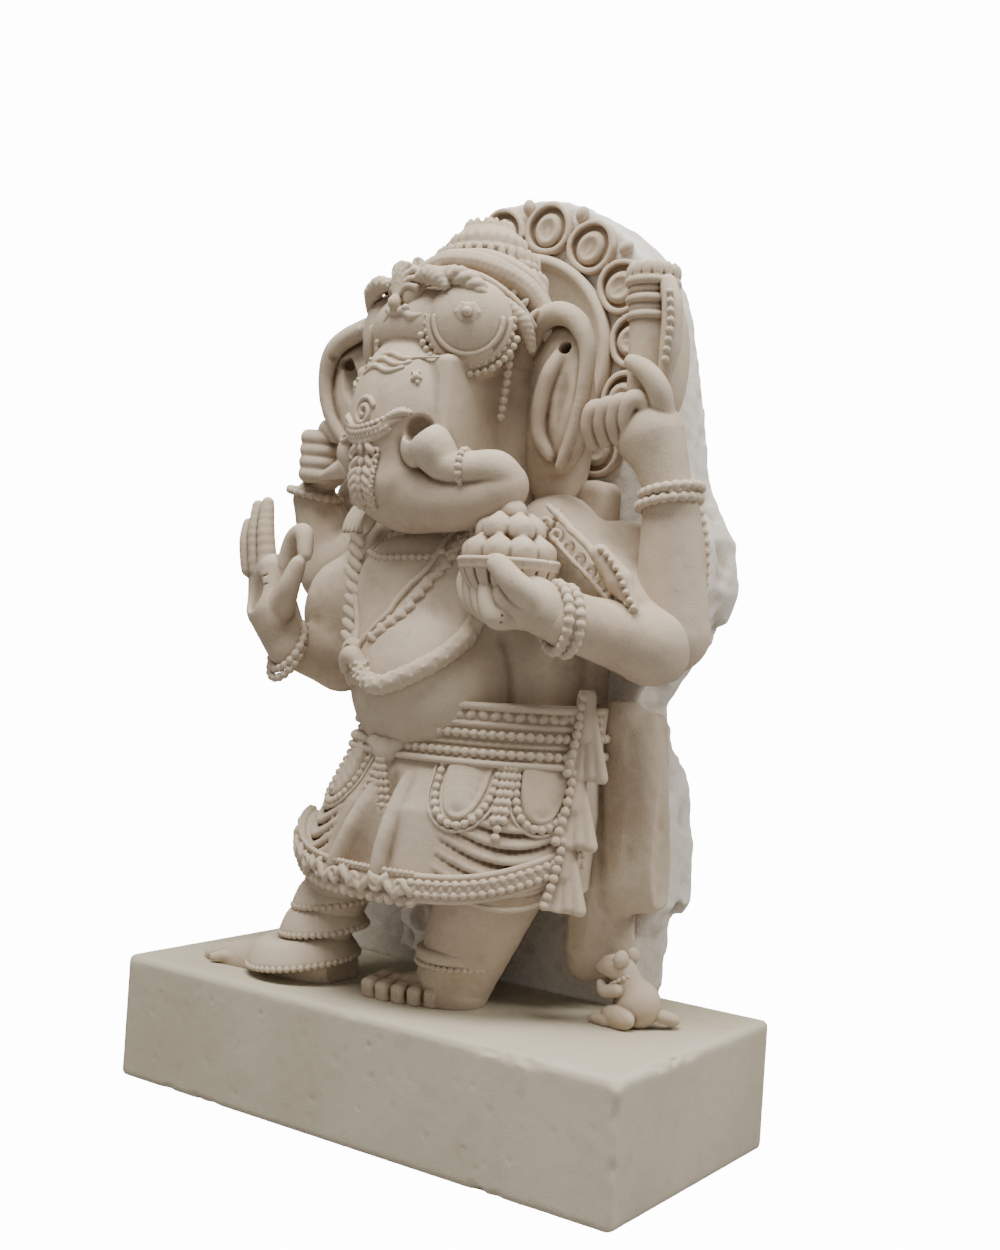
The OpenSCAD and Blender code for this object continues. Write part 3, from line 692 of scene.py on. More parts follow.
def row_group():
    """Geometry nodes that set beads along curves on a continuous cord of stone."""
    tree = bpy.data.node_groups.new("carved_row", "GeometryNodeTree")
    face = tree.interface
    face.new_socket("Geometry", in_out="INPUT", socket_type="NodeSocketGeometry")
    for label in ("Pitch", "Across", "Proud", "Along", "Cord"):
        face.new_socket(label, in_out="INPUT", socket_type="NodeSocketFloat")
    face.new_socket("Stone", in_out="INPUT", socket_type="NodeSocketMaterial")
    face.new_socket("Geometry", in_out="OUTPUT", socket_type="NodeSocketGeometry")
    nodes, links = tree.nodes, tree.links
    given, made = nodes.new("NodeGroupInput"), nodes.new("NodeGroupOutput")
    spaced, tangent = nodes.new("GeometryNodeResampleCurve"), nodes.new("GeometryNodeInputTangent")
    spaced.mode = "LENGTH"
    links.new(given.outputs["Geometry"], spaced.inputs["Curve"])
    links.new(given.outputs["Pitch"], spaced.inputs["Length"])
    bead, stamp = nodes.new("GeometryNodeMeshIcoSphere"), nodes.new("GeometryNodeInstanceOnPoints")
    bead.inputs["Radius"].default_value = 1.0
    bead.inputs["Subdivisions"].default_value = 3
    size, facing = nodes.new("ShaderNodeCombineXYZ"), nodes.new("FunctionNodeAlignRotationToVector")
    for label, axis in (("Across", "X"), ("Proud", "Y"), ("Along", "Z")):
        links.new(given.outputs[label], size.inputs[axis])
    facing.axis = "Z"
    links.new(tangent.outputs["Tangent"], facing.inputs["Vector"])
    links.new(spaced.outputs["Curve"], stamp.inputs["Points"])
    links.new(bead.outputs["Mesh"], stamp.inputs["Instance"])
    links.new(facing.outputs["Rotation"], stamp.inputs["Rotation"])
    links.new(size.outputs["Vector"], stamp.inputs["Scale"])
    solid, cord = nodes.new("GeometryNodeRealizeInstances"), nodes.new("GeometryNodeCurveToMesh")
    ring = nodes.new("GeometryNodeCurvePrimitiveCircle")
    ring.inputs["Resolution"].default_value = 10
    cord.inputs["Fill Caps"].default_value = True
    links.new(given.outputs["Cord"], ring.inputs["Radius"])
    links.new(given.outputs["Geometry"], cord.inputs["Curve"])
    links.new(ring.outputs["Curve"], cord.inputs["Profile Curve"])
    links.new(stamp.outputs["Instances"], solid.inputs["Geometry"])
    whole, coat = nodes.new("GeometryNodeJoinGeometry"), nodes.new("GeometryNodeSetMaterial")
    links.new(solid.outputs["Geometry"], whole.inputs["Geometry"])
    links.new(cord.outputs["Mesh"], whole.inputs["Geometry"])
    links.new(whole.outputs["Geometry"], coat.inputs["Geometry"])
    links.new(given.outputs["Stone"], coat.inputs["Material"])
    links.new(coat.outputs["Geometry"], made.inputs["Geometry"])
    return tree


CARVED_ROW = row_group()


def carved_row(name, strands, nodes, radius, pitch=None, proud=None, cord=0.45, closed=False):
    """A piece of beads along strands of points in millimetres; the cord is a share of the radius."""
    curve = bpy.data.curves.new(name, "CURVE")
    curve.dimensions = "3D"
    for strand in strands:
        points = np.asarray(strand) * MM
        spline = curve.splines.new("POLY")
        spline.points.add(len(points) - 1)
        spline.points.foreach_set("co", np.hstack([points, np.ones((len(points), 1))]).ravel())
        spline.use_cyclic_u = closed
    holder = bpy.data.objects.new(name + "_row", curve)
    bpy.context.collection.objects.link(holder)
    setter = holder.modifiers.new("row", "NODES")
    setter.node_group = CARVED_ROW
    values = {"Pitch": pitch or radius * 1.9, "Across": radius, "Proud": proud or radius,
              "Along": radius, "Cord": cord * radius}
    for socket in CARVED_ROW.interface.items_tree:
        if socket.name in values:
            setter[socket.identifier] = values[socket.name] * MM
        elif socket.name == "Stone":
            setter[socket.identifier] = carved_stone
    deps = bpy.context.evaluated_depsgraph_get()
    mesh = bpy.data.meshes.new_from_object(holder.evaluated_get(deps), depsgraph=deps)
    mesh.name = name
    bpy.data.objects.remove(holder)
    return place_piece(name, mesh, carved_stone, "carved_stone", *nodes)


carved_row("trunk_bead_rows", [hoop(on_head((37, -49.5, 398.4))[0], 18.2, (0, 90, -4), count=60),
                               hoop(on_head((63, -56, 415))[0], 11.0, (0, 90, 13.6), count=40)],
           ["trunk_bands"], 2.3, closed=True)

# ---------------------------------------------------------------------------
# Hair, crown and brow jewels: combed rolls sweep from the brow over both
# bosses to the ears, a low tiered crown stands on them, and a ridged shell
# pendant hangs between the bosses.
# ---------------------------------------------------------------------------


def braid(stone, control, radius, turns, strands=3, blend=0.5):
    """Twisted strands of stone that run side by side along the control points."""
    radii = np.atleast_1d(radius)
    count = max(14, int(turns * 9))
    path = curve_points(control, count)
    ahead = np.gradient(path, axis=0)
    ahead /= np.linalg.norm(ahead, axis=1)[:, None]
    side = np.cross(ahead, (0.3, 0.2, 1.0))
    side /= np.linalg.norm(side, axis=1)[:, None]
    up = np.cross(side, ahead)
    t = np.linspace(0, 1, count)
    size = np.interp(t, np.linspace(0, 1, len(radii)), radii)
    for strand in range(strands):
        phase = 2 * math.pi * (turns * t + strand / strands)
        line = path + 0.5 * size[:, None] * (np.cos(phase)[:, None] * side + np.sin(phase)[:, None] * up)
        for i in range(count - 1):
            stone.add(limb(line[i], line[i + 1], 0.52 * size[i], 0.52 * size[i + 1]), blend)


hair = Carving(0.85)
hair.add(oval((1, 4, 518), (44, 42, 32)))
hair.add(limb((2, 4, 543), (2, 4, 562), 36, 26), 4)
hair.add(limb((2, 4, 562), (2, 4, 589), 17, 2.5), 2)
for ring_z, ring_r, notch in ((543, 39, 34), (556, 33, 28), (566, 24, 20), (577, 15, 14)):
    rope(hair, hoop((2, 4, ring_z), ring_r, (0, 0, 0), count=30), [2.6], 0.8, count=60)
    for a in around(notch):
        spot = np.array((2 + (ring_r - 1) * math.cos(a), 4 + (ring_r - 1) * math.sin(a), ring_z + 5))
        hair.add(oval(spot, (2.2, 3.4, 5.5), (0, 0, math.degrees(a) - 90)), 0.8)
for side in BOTH:
    braid(hair, [(side * 4, -56, 541), (side * 24, -46, 548), (side * 42, -28, 545), (side * 54, -6, 533),
                 (side * 59, 8, 512), (side * 56, 16, 492)], [4, 7, 8, 8, 7, 4], 13, 3)
    braid(hair, [(side * 16, -40, 554), (side * 34, -22, 553), (side * 48, -2, 543), (side * 54, 12, 524)],
          [4, 6, 6.5, 5], 10, 3)
    rope(hair, [(side * 12, -60, 537), (side * 30, -54, 540), (side * 47, -38, 536), (side * 58, -20, 524),
                (side * 62, -6, 510)], [2.2, 2.6, 2.6, 2.2], 0.6, count=30)
    braid(hair, [(side * 13, -64, 534), (side * 24, -63, 536), (side * 33, -61, 533),
                 (side * 39, -60, 527)], [3, 6, 6, 3], 2.4, 3)
    braid(hair, [(side * 31, -61, 535), (side * 42, -55, 535), (side * 52, -46, 528),
                 (side * 56, -42, 519)], [3, 6.5, 6, 3], 2.2, 3)
    braid(hair, [(side * 58, -30, 522), (side * 65, -18, 510), (side * 66, -10, 494)], [4, 5.5, 3], 3, 3)
    for tuft in range(9):
        t = tuft / 8
        spot = np.array((side * (20 + 40 * t), -52 + 46 * t, 541 - 24 * t * t))
        hair.add(oval(spot, (2.6, 2.6, 6.5), (20, side * (20 + 30 * t), side * 40)), 0.8)
hair.only(block((0, 0, 530), (74, 76, 64)))
carved_piece("hair_and_crown", hair, "crown_tiers", "crown_finial", "hair_curls", place=HEAD_TURN,
             uneven=0.1)


def boss(side, out=0.0):
    """The middle of a brow boss, moved out along the boss's own axis."""
    return np.array((side * 41 + 2, -42, 508)) + np.array((side * 0.66, -0.75, 0)) * out


jewels = Carving(0.6)
for side in BOTH:
    jewels.add(oval(boss(side), (27, 17, 27), (0, 0, side * 41)))
    for ring_r, width, out in ((25.5, 1.8, 9), (21.5, 1.4, 13.5)):
        ring = hoop(boss(side, out - 3), ring_r, (90, 0, side * 41), 178, 362, count=26)
        rope(jewels, ring, [width], 0.6, count=40)
    bud = boss(side, 16) + (0, 0, 3)
    jewels.add(oval(bud, (7.5, 2.4, 6), (0, 0, side * 41)), 1.2)
    jewels.add(ball(boss(side, 18.6) + (0, 0, 3), 3.1), 0.5)
    for a in around(6):
        jewels.add(ball(bud + (side * 6.6 * math.cos(a) * 0.75, 6.6 * math.cos(a) * 0.66,
                               5.4 * math.sin(a)), 1.5), 0.6)
shell_mid = np.array((4, -62, 530))
jewels.add(oval(shell_mid, (13, 8, 16), (-12, 0, 0)), 1)
for ridge in range(-4, 5):
    a = math.radians(24 * ridge)
    tip = shell_mid + (12.5 * math.sin(a), -6.5 + 3 * abs(math.sin(a)), 14.5 * math.cos(a))
    rope(jewels, [shell_mid + (0, -9.5, -9), (shell_mid + (0, -10.5, 0) + tip) / 2, tip], [1.3, 1.9, 2.2],
         0.5, count=7)
jewels.add(oval(shell_mid + (0, -10, -11), (4.6, 3.6, 5.6)), 0.8)
jewels.add(oval(shell_mid + (0, -12.5, -11), (2.4, 2.6, 3.6)), 0.3)
for drop in range(-2, 3):
    jewels.add(ball(shell_mid + (4.2 * drop, -9 + 0.5 * abs(drop), -17 + 0.6 * drop * drop), 2.4), 0.6)
for side in BOTH:
    rope(jewels, [shell_mid + (side * 5, -8, -15), shell_mid + (side * 12, -6, -20),
                  shell_mid + (side * 20, -2, -19)], [2, 2.6, 1.4], 0.7)
jewels.only(block((0, -50, 520), (72, 28, 46)))
carved_piece("brow_bosses_and_pendant", jewels, "forehead_bosses", "crown_pendant", place=HEAD_TURN)

fringe = []
for side in BOTH:
    centre = boss(side, 4.5)
    fringe.append(on_head(hoop(centre, 27.4, (90, 0, side * 41), 176, 364, count=40)))
    fringe.append(on_head(hoop(centre + (0, 0, -1.4), 31.2, (90, 0, side * 41), 196, 344, count=40)))
carved_row("brow_fringes", fringe, [], 2.15, pitch=4.5, proud=2.4)
hanging = [[(side * 60, -22, 500), (side * 58, -22, 478), (side * 52, -20, 452)] for side in BOTH]
carved_row("hair_side_strings", [on_head(curve_points(string, 16)) for string in hanging], [], 2.6,
           pitch=5.2)
garland = [(x, face_front(x, 440) - 0.6, 439.5 + sag(x)) for x in np.linspace(-36, 22, 26)]
carved_row("trunk_root_garland", [on_face(garland, 0.6)], ["garland_band"], 2.0, pitch=4.0, proud=2.6)

# ---------------------------------------------------------------------------
# Ears and tusk: thick lobes with a rolled upper rim and a drilled hole, and
# the short pointed tusk that shows beyond the trunk.
# ---------------------------------------------------------------------------
ears = Carving(0.9)
ears.add(oval((70, -6, 472), (28, 12, 52), (0, -8, -14)))
ears.add(oval((58, 14, 440), (20, 26, 46)), 8)
rope(ears, [(50, -10, 500), (58, -16, 514), (72, -19, 519), (88, -20, 512), (96, -19, 494), (94, -18, 470),
            (87, -16, 444), (78, -14, 424)], [5, 6.5, 7, 6.5, 5, 4, 3.5, 3], 1.5, count=44)
rope(ears, [(76, -14, 496), (70, -20, 482), (64, -20, 462), (63, -18, 444), (70, -15, 430)],
     [4, 4.5, 4.5, 4, 3], 2.5, count=24)
ears.cut(limb((79, -30, 500), (77, -8, 496), 4.2), 1.0)
rope(ears, [(82, -23, 488), (80, -24, 470), (76, -22, 448)], [2.5, 6, 3], 2.5, cut=True)
rope(ears, [(54, -22, 508), (52, -20, 486), (54, -17, 462)], [1.5, 3.2, 1.5], 1.5, cut=True)
carved_piece("left_ear_lobe", ears, "left_ear", uneven=0.2)

far_ear = Carving(1.0)
far_ear.add(oval((-82, -6, 478), (40, 9, 44), (0, 8, 12)))
far_ear.add(oval((-58, 16, 456), (22, 24, 44)), 8)
rope(far_ear, [(-50, -6, 510), (-66, -14, 522), (-88, -19, 518), (-108, -22, 506), (-116, -20, 486),
               (-112, -18, 462), (-98, -14, 442), (-82, -8, 430)], [5, 6, 6.5, 6, 5, 4.5, 4, 3], 1.5,
     count=44)
rope(far_ear, [(-100, -14, 498), (-94, -17, 480), (-86, -16, 462)], [3, 6, 3], 2, cut=True)
far_ear.cut(limb((-106, -30, 498), (-102, -12, 496), 3.6), 0.8)
carved_piece("right_ear_lobe", far_ear, "right_ear", uneven=0.2)

tusk = Carving(0.7)
rope(tusk, [(-38, -60, 424), (-54, -66, 417), (-72, -66, 412)], [8, 6.5, 2.2], 1)
rope(tusk, hoop((-50, -65, 419), 7.2, (0, 72, -12), count=20), [1.8], 0.5, count=24)
carved_piece("right_tusk_tip", tusk, "right_tusk")

# ---------------------------------------------------------------------------
# Front arms: the left one carries the bowl of sweets with its elbow back at
# the slab, the right one is raised with its palm open to the front.
# ---------------------------------------------------------------------------
left_arm = Carving(1.0)
left_arm.add(limb((66, 8, 380), (144, -2, 318), 29, 24))
left_arm.add(oval((96, 24, 352), (36, 24, 44), (0, 32, 0)), 8)
left_arm.add(limb((144, -4, 316), (119, -54, 327), 23, 17), 6)
left_arm.add(limb((144, 0, 316), (138, 36, 320), 22, 20), 6)
left_arm.add(limb((119, -54, 327), (104, -62, 332), 16, 15), 4)
rope(left_arm, [(78, -24, 398), (106, -30, 378), (128, -28, 358), (142, -22, 340)], [1.8], 1.2, count=24)
rope(left_arm, [(72, -26, 390), (98, -33, 369), (120, -31, 350), (134, -26, 333)], [1.4], 1.0, count=24)
for curl in range(7):
    centre = np.array((82 + 8.2 * curl, -31.5 + 0.4 * curl, 386 - 7.1 * curl))
    rope(left_arm, hoop(centre, 3.4, (80, 36, 0), 20, 320, count=10), [1.5], 0.8, count=14)
carved_piece("left_arm_with_sleeve", left_arm, "left_upper_arm", "left_forearm", uneven=0.2)

cupped = Carving(0.7)
cupped.add(limb((116, -57, 328), (100, -66, 336), 15, 16))
cupped.add(oval((90, -70, 338), (17, 14, 17), (0, 20, 30)), 6)
for finger in range(4):
    x, y = 84 - 9.2 * finger, -74 + 5.2 * finger
    rope(cupped, [(x + 8, y + 2, 328 + finger), (x - 1, y - 7, 327 + 3 * finger),
                  (x - 8, y - 6, 341 + 2 * finger), (x - 9, y - 1, 355 + finger)], [7.5, 6.6, 5.6, 4.4],
         1.2, count=15)
    cupped.add(oval((x - 9.5, y - 4.5, 357 + finger), (3.0, 2.0, 3.6)), 0.6)
rope(cupped, [(104, -74, 338), (98, -84, 346), (88, -86, 356), (79, -82, 360)], [8.5, 7.4, 6.2, 4.6], 1.8,
     count=16)
for line in range(2):
    rope(cupped, [(106, -80, 326 - 4 * line), (96, -84, 326 - 4 * line), (86, -83, 329 - 4 * line)],
         [0.5, 0.9, 0.5], 0.4, cut=True)
carved_piece("left_hand_cupped", cupped, "left_hand")

right_side = Carving(1.0)
right_side.add(limb((-64, 2, 366), (-88, -16, 296), 31, 23))
right_side.add(limb((-86, -18, 292), (-99, -60, 302), 21, 15), 6)
right_side.add(oval((-92, -18, 328), (24, 22, 34), (0, 10, 0)), 8)
right_side.add(oval((-60, 20, 330), (22, 26, 60)), 8)
rope(right_side, hoop((-68, -4, 352), 27, (0, 14, 0), 150, 400, count=24), [2.0], 1.0, count=40)
rope(right_side, hoop((-70, -6, 345), 26, (0, 14, 0), 150, 400, count=24), [1.5], 1.0, count=40)
carved_piece("right_arm_raised", right_side, "right_arm", uneven=0.2)

blessing = Carving(0.7)
blessing.add(limb((-98, -60, 300), (-108, -65, 322), 14.5, 17))
blessing.add(block((-113, -66, 337), (19, 10, 22), (0, -8, -24), 9), 7)
blessing.add(oval((-103, -72, 320), (14, 9, 17), (0, 0, -20)), 4)
for finger, (x, tall) in enumerate(((-130, 30), (-121, 42), (-111, 44))):
    y = -67 - 1.5 * finger
    rope(blessing, [(x, y, 350), (x - 3, y - 1, 352 + tall * 0.5), (x - 5, y + 1, 350 + tall)],
         [6.4, 5.6, 4.2], 1.2, count=9)
    blessing.cut(limb((x - 1, y - 7.4, 366), (x + 5, y - 7.4, 366), 0.7), 0.4)
rope(blessing, [(-99, -66, 350), (-91, -68, 370), (-80, -71, 374), (-75, -74, 360)], [6.8, 6.2, 5.6, 4.6],
     1.6, count=16)
rope(blessing, [(-95, -72, 324), (-84, -78, 338), (-77, -78, 354)], [8.5, 6.6, 4.8], 1.8, count=12)
blessing.cut(oval((-114, -77, 333), (9, 6, 13), (0, 0, -20)), 3)
for line in range(2):
    rope(blessing, [(-126, -76, 346 - 8 * line), (-114, -78.5, 343 - 7 * line),
                    (-102, -79, 346 - 6 * line)], [0.5, 1.0, 0.5], 0.5, cut=True)
blessing.cut(limb((-90, -66, 352), (-82, -70, 358), 4.2), 1.5)
carved_piece("right_hand_open", blessing, "right_hand")

# ---------------------------------------------------------------------------
# Rear arms and the emblem: the left one holds up a short moulded staff
# with a curled grip, the right one is a fist beside the head.
# ---------------------------------------------------------------------------
rear_left = Carving(1.0)
rear_left.add(limb((150, 12, 324), (147, 6, 404), 24, 17))
rear_left.add(oval((142, 28, 352), (19, 20, 58)), 8)
rear_left.add(limb((147, 6, 404), (142, 3, 424), 15.5, 15), 3)
carved_piece("rear_left_arm_upright", rear_left, "rear_left_arm", uneven=0.2)

grip = Carving(0.7)
grip.add(limb((145, 3, 414), (136, 0, 444), 15, 19))
grip.add(oval((130, -2, 446), (20, 15, 22), (0, -14, 0)), 6)
for finger in range(4):
    x, z = 133 - 8.6 * finger, 464 - 1.5 * finger
    rope(grip, [(x + 3, -4, 448), (x - 1, -12, z - 2), (x - 6, -16, z - 2), (x - 9, -15, z - 12),
                (x - 8, -11, z - 22)], [7, 6.2, 5.8, 5.2, 4.2], 1.1, count=18)
rope(grip, [(140, 0, 452), (143, -10, 468), (136, -14, 480), (124, -13, 487)], [8, 7, 6, 4.6], 1.8,
     count=18)
carved_piece("rear_left_hand_grip", grip, "rear_left_hand")

staff = Carving(0.7)
staff.add(limb((126, 4, 458), (126, 4, 520), 12, 13.2))
staff.add(oval((124, 30, 496), (12, 22, 42)), 4)
for z, r, w in ((517, 15.5, 2.4), (522, 14.0, 1.8), (527, 16.5, 2.6), (533, 15.0, 1.8), (538, 17.5, 2.8)):
    staff.add(limb((126, 4, z - 0.2), (126, 4, z + 0.2), 1, 1))
    rope(staff, hoop((126, 4, z), r - w, (0, 0, 0), count=28), [w], 0.6, count=36)
staff.add(limb((126, 4, 520), (126, 4, 540), 13.5, 14), 1.5)
for a in around(14):
    staff.add(oval((126 + 14 * math.cos(a), 4 + 14 * math.sin(a), 544), (3.2, 3.4, 6),
                   (0, 0, math.degrees(a))), 0.8)
staff.only(block((126, 8, 500), (20, 36, 50)))
rope(staff, [(141, -4, 536), (146, -6, 520), (146, -6, 496), (143, -5, 478)], [5, 6.2, 6.2, 4], 1.2,
     count=18)
carved_piece("moulded_emblem", staff, "emblem")
carved_row("emblem_pendant_beads", [curve_points([(147, -12.5, 528), (149, -13, 510), (146, -11, 488)],
                                                 12)], [], 2.5, pitch=5.4)

rear_right = Carving(1.0)
rear_right.add(limb((-78, 18, 376), (-128, 14, 352), 25, 22))
rear_right.add(limb((-128, 14, 352), (-142, 6, 404), 21, 16), 6)
rear_right.add(block((-118, 36, 378), (34, 12, 44), (0, 20, 0), 8), 8)
rear_right.add(oval((-131, 2, 432), (18, 17, 22)), 4)
for finger in range(4):
    z = 446 - 8.5 * finger
    rope(rear_right, [(-139, -8, z + 1), (-131, -15, z), (-120, -13, z - 1), (-116, -5, z)],
         [5.6, 5.8, 5.2, 4], 1.6, count=12)
rope(rear_right, [(-126, -4, 450), (-118, -12, 453), (-110, -12, 446)], [6.5, 5.6, 4], 1.4, count=10)
carved_piece("rear_right_arm_and_fist", rear_right, "rear_right_arm", uneven=0.2)

# ---------------------------------------------------------------------------
# Bangles: rows of proud beads on a thick cord round each wrist. The far rear
# wrist has one row and the others have two.
# ---------------------------------------------------------------------------
carved_row("left_wrist_beads", [hoop((116, -54, 327), 19.5, (0, 90, 56), count=60),
                                hoop((111, -59, 328.5), 20, (0, 90, 56), count=60)], ["left_bangle"], 3.3,
           pitch=6.0, cord=0.72, closed=True)
carved_row("rear_left_wrist_beads", [hoop((147, 4, 403), 18.6, (0, -12, 0), count=60),
                                     hoop((148, 4, 410), 18.2, (0, -12, 0), count=60)],
           ["rear_left_bangle"], 3.2, pitch=5.9, cord=0.72, closed=True)
carved_row("right_wrist_beads", [hoop((-98, -60, 300), 17.4, (64, 0, -20), count=60),
                                 hoop((-99, -59, 294), 17.6, (64, 0, -20), count=60)], ["right_bangle"],
           3.0, pitch=5.6, cord=0.72, closed=True)
carved_row("rear_right_wrist_beads", [hoop((-142, 5, 408), 18, (0, 12, 0), count=60)], [], 3.1, pitch=5.9,
           cord=0.72, closed=True)

# ---------------------------------------------------------------------------
# Bowl and sweets: a petalled bowl with a thin lip and sixteen plump sweets
# heaped in it, each with a small pinched tip.
# ---------------------------------------------------------------------------
bowl_low, bowl_high = node_box("sweet_bowl")
bowl_mid = (bowl_low + bowl_high) / 2
rim_z = bowl_high[2]
bowl = Carving(0.6).add(oval((bowl_mid[0], bowl_mid[1], rim_z + 4), (31.5, 31.5, 33)))
for a in around(18):
    out = np.array((math.cos(a), math.sin(a), 0))
    bowl.cut(limb(bowl_mid * (1, 1, 0) + out * 32.6 + (0, 0, rim_z - 3),
                  bowl_mid * (1, 1, 0) + out * 17 + (0, 0, bowl_low[2]), 1.1), 0.8)
bowl.only(block(bowl_mid + (0, 0, -1), (40, 40, 12.4), edge=1))
rope(bowl, hoop((bowl_mid[0], bowl_mid[1], rim_z - 1.6), 29.4, (0, 0, 0), count=48), [1.6], 0.6, count=60)
rope(bowl, hoop((bowl_mid[0], bowl_mid[1], rim_z - 6), 29.0, (0, 0, 0), count=48), [1.1], 0.6, count=60)
bowl.cut(oval((bowl_mid[0], bowl_mid[1], rim_z + 5), (27, 27, 12)))
carved_piece("petalled_bowl", bowl, "sweet_bowl")

heap = Carving(0.75)
for count, reach_out, up, turn in ((9, 19.6, 3, 0.1), (6, 12, 16.5, 0.5), (1, 0, 27, 0)):
    for angle in around(count):
        a = angle + turn
        spot = np.array((bowl_mid[0] + reach_out * math.cos(a), bowl_mid[1] + reach_out * math.sin(a),
                         rim_z + up))
        heap.add(oval(spot, (9.4, 9.4, 9.8), (0, 0, math.degrees(a))), 0.9)
        for ridge in around(5):
            b = ridge + a
            heap.add(limb(spot + (6.4 * math.cos(b), 6.4 * math.sin(b), 3), spot + (0, 0, 9), 2.2, 1.2),
                     2.2)
carved_piece("heap_of_sweets", heap, "sweets")

# ---------------------------------------------------------------------------
# Chest jewels: two cords frame a smooth panel and meet in a clasp, with leaf
# garlands outside them, bead collars at the neck and shoulder tassels. Every
# strand is laid on the surface of the carved body.
# ---------------------------------------------------------------------------

chest = skin(body_mesh)
left_cord = laid(chest, curve_points([(-42, -40, 374), (-53, -56, 352), (-50, -68, 328), (-40, -76, 306)],
                                     26), 0.6)
right_cord = laid(chest, curve_points([(18, -50, 382), (14, -66, 358), (-4, -80, 334), (-26, -82, 308)],
                                      30), 0.6)
top_cord = laid(chest, curve_points([(-46, -46, 366), (-22, -62, 362), (16, -60, 366)], 20), 0.6)
chain_work = Carving(0.7)
for cord in (left_cord, right_cord):
    rope(chain_work, cord, [2.0], 0.5, count=46)
for line, out, leafy in ((left_cord, -7, False), (right_cord, 8, True)):
    shifted = laid(chest, line + (out, 0, 2), 0.4)
    rope(chain_work, shifted, [1.5], 0.5, count=40)
    for step, spot in enumerate(curve_points(laid(chest, line + (out * 1.5, 0, 3), 0.8), 24)):
        if leafy:
            chain_work.add(oval(spot, (4.6, 2.4, 2.6), (0, 35 if step % 2 else -35, 0)), 0.8)
        else:
            chain_work.add(ball(spot, 2.7), 0.5)
for step, spot in enumerate(laid(chest, curve_points([(-44, -30, 380), (-30, -46, 384), (0, -50, 388),
                                                      (34, -44, 386)], 22), 0.5)):
    chain_work.add(oval(spot + (0, 0, -3 * (step % 2)), (2.6, 2.6, 5.0), (-25, 12 * math.sin(step), 0)),
                   0.8)
clasp = laid(chest, [(-34, -80, 302)], 2.0)[0]
chain_work.add(oval(clasp, (8.5, 6, 8), (0, 20, 0)), 1.5)
chain_work.cut(ball(clasp + (-1, -7, 1), 3.6), 0.6)
for swing in (-34, -8, 22, 46):
    way = np.array((math.sin(math.radians(swing)), -0.12, -math.cos(math.radians(swing))))
    ends = laid(chest, [clasp + way * 6, clasp + way * 14, clasp + way * 21], 1.0)
    rope(chain_work, ends, [3.4, 4.2, 2.2], 1.0, count=8)
carved_piece("chest_cords_and_clasp", chain_work, "necklace")
collars = [top_cord, laid(chest, curve_points([(-46, -18, 392), (-20, -36, 396), (14, -38, 398),
                                               (42, -26, 394)], 24), 1.2),
           laid(chest, curve_points([(20, -58, 370), (34, -52, 362), (48, -44, 362)], 14), 1.0)]
carved_row("collar_beads", collars, [], 2.4, pitch=4.9)
near_bow = [(66 + 19 * math.cos(a), -22 - 3 * math.sin(-a), 396 + 15 * math.sin(a))
            for a in np.radians(np.linspace(185, 355, 20))]
arm_skin = skin(bpy.data.objects["left_arm_with_sleeve"].data)
bows = [laid(arm_skin, np.array(near_bow) + shift, 0.8) for shift in ((0, 0, 0), (0, -1, -5))]
carved_row("shoulder_bow_beads", bows, [], 2.4, pitch=4.8)

serpent = Carving(0.7)
coil = laid(chest, curve_points([(60, -50, 352), (62, -58, 338), (56, -70, 318), (42, -80, 300),
                                 (24, -88, 288), (6, -90, 281), (-8, -88, 284), (-16, -84, 292)], 60), 3.0)
rope(serpent, coil, [3.6, 5.2, 5.8, 5.8, 5.8, 5.8, 5.2, 4.6], 1.0, count=60)
for turn in range(150):
    t = turn / 149
    i = min(58, int(t * 59))
    ahead = (coil[i + 1] - coil[i]) / np.linalg.norm(coil[i + 1] - coil[i])
    side = np.cross(ahead, (0, 0, 1))
    side /= np.linalg.norm(side)
    a = turn * 2.4
    spot = coil[i] + (coil[i + 1] - coil[i]) * (t * 59 - i) + 5.4 * (math.cos(a) * side + math.sin(a)
                                                                     * np.cross(side, ahead))
    serpent.add(ball(spot, 1.5), 0.6)
rope(serpent, [coil[-1], coil[-1] + (-6, -1, 6), coil[-1] + (-12, 1, 3), coil[-1] + (-13, 1, -4)],
     [4.8, 5.6, 4.6, 2.2], 1.2, count=14)
carved_piece("serpent_cord", serpent, "serpent_girdle")

tassels = Carving(0.8)
for step in range(6):
    root = np.array((-80 + 7.5 * step, -18 - 4.5 * step, 398 - 0.5 * step))
    tassels.add(oval(root + (-2, -5, -9), (3.6, 3.2, 12), (-24, 10, 0)), 1.0)
    tassels.add(ball(root, 3.4), 1.0)
for step in range(9):
    tassels.add(oval((-52 + 0.9 * step, -50 - 1.4 * step, 372 - 8 * step), (7.5, 3, 3.4), (0, 34, 0)), 0.8)
carved_piece("shoulder_leaf_tassels", tassels, "shoulder_tassels")

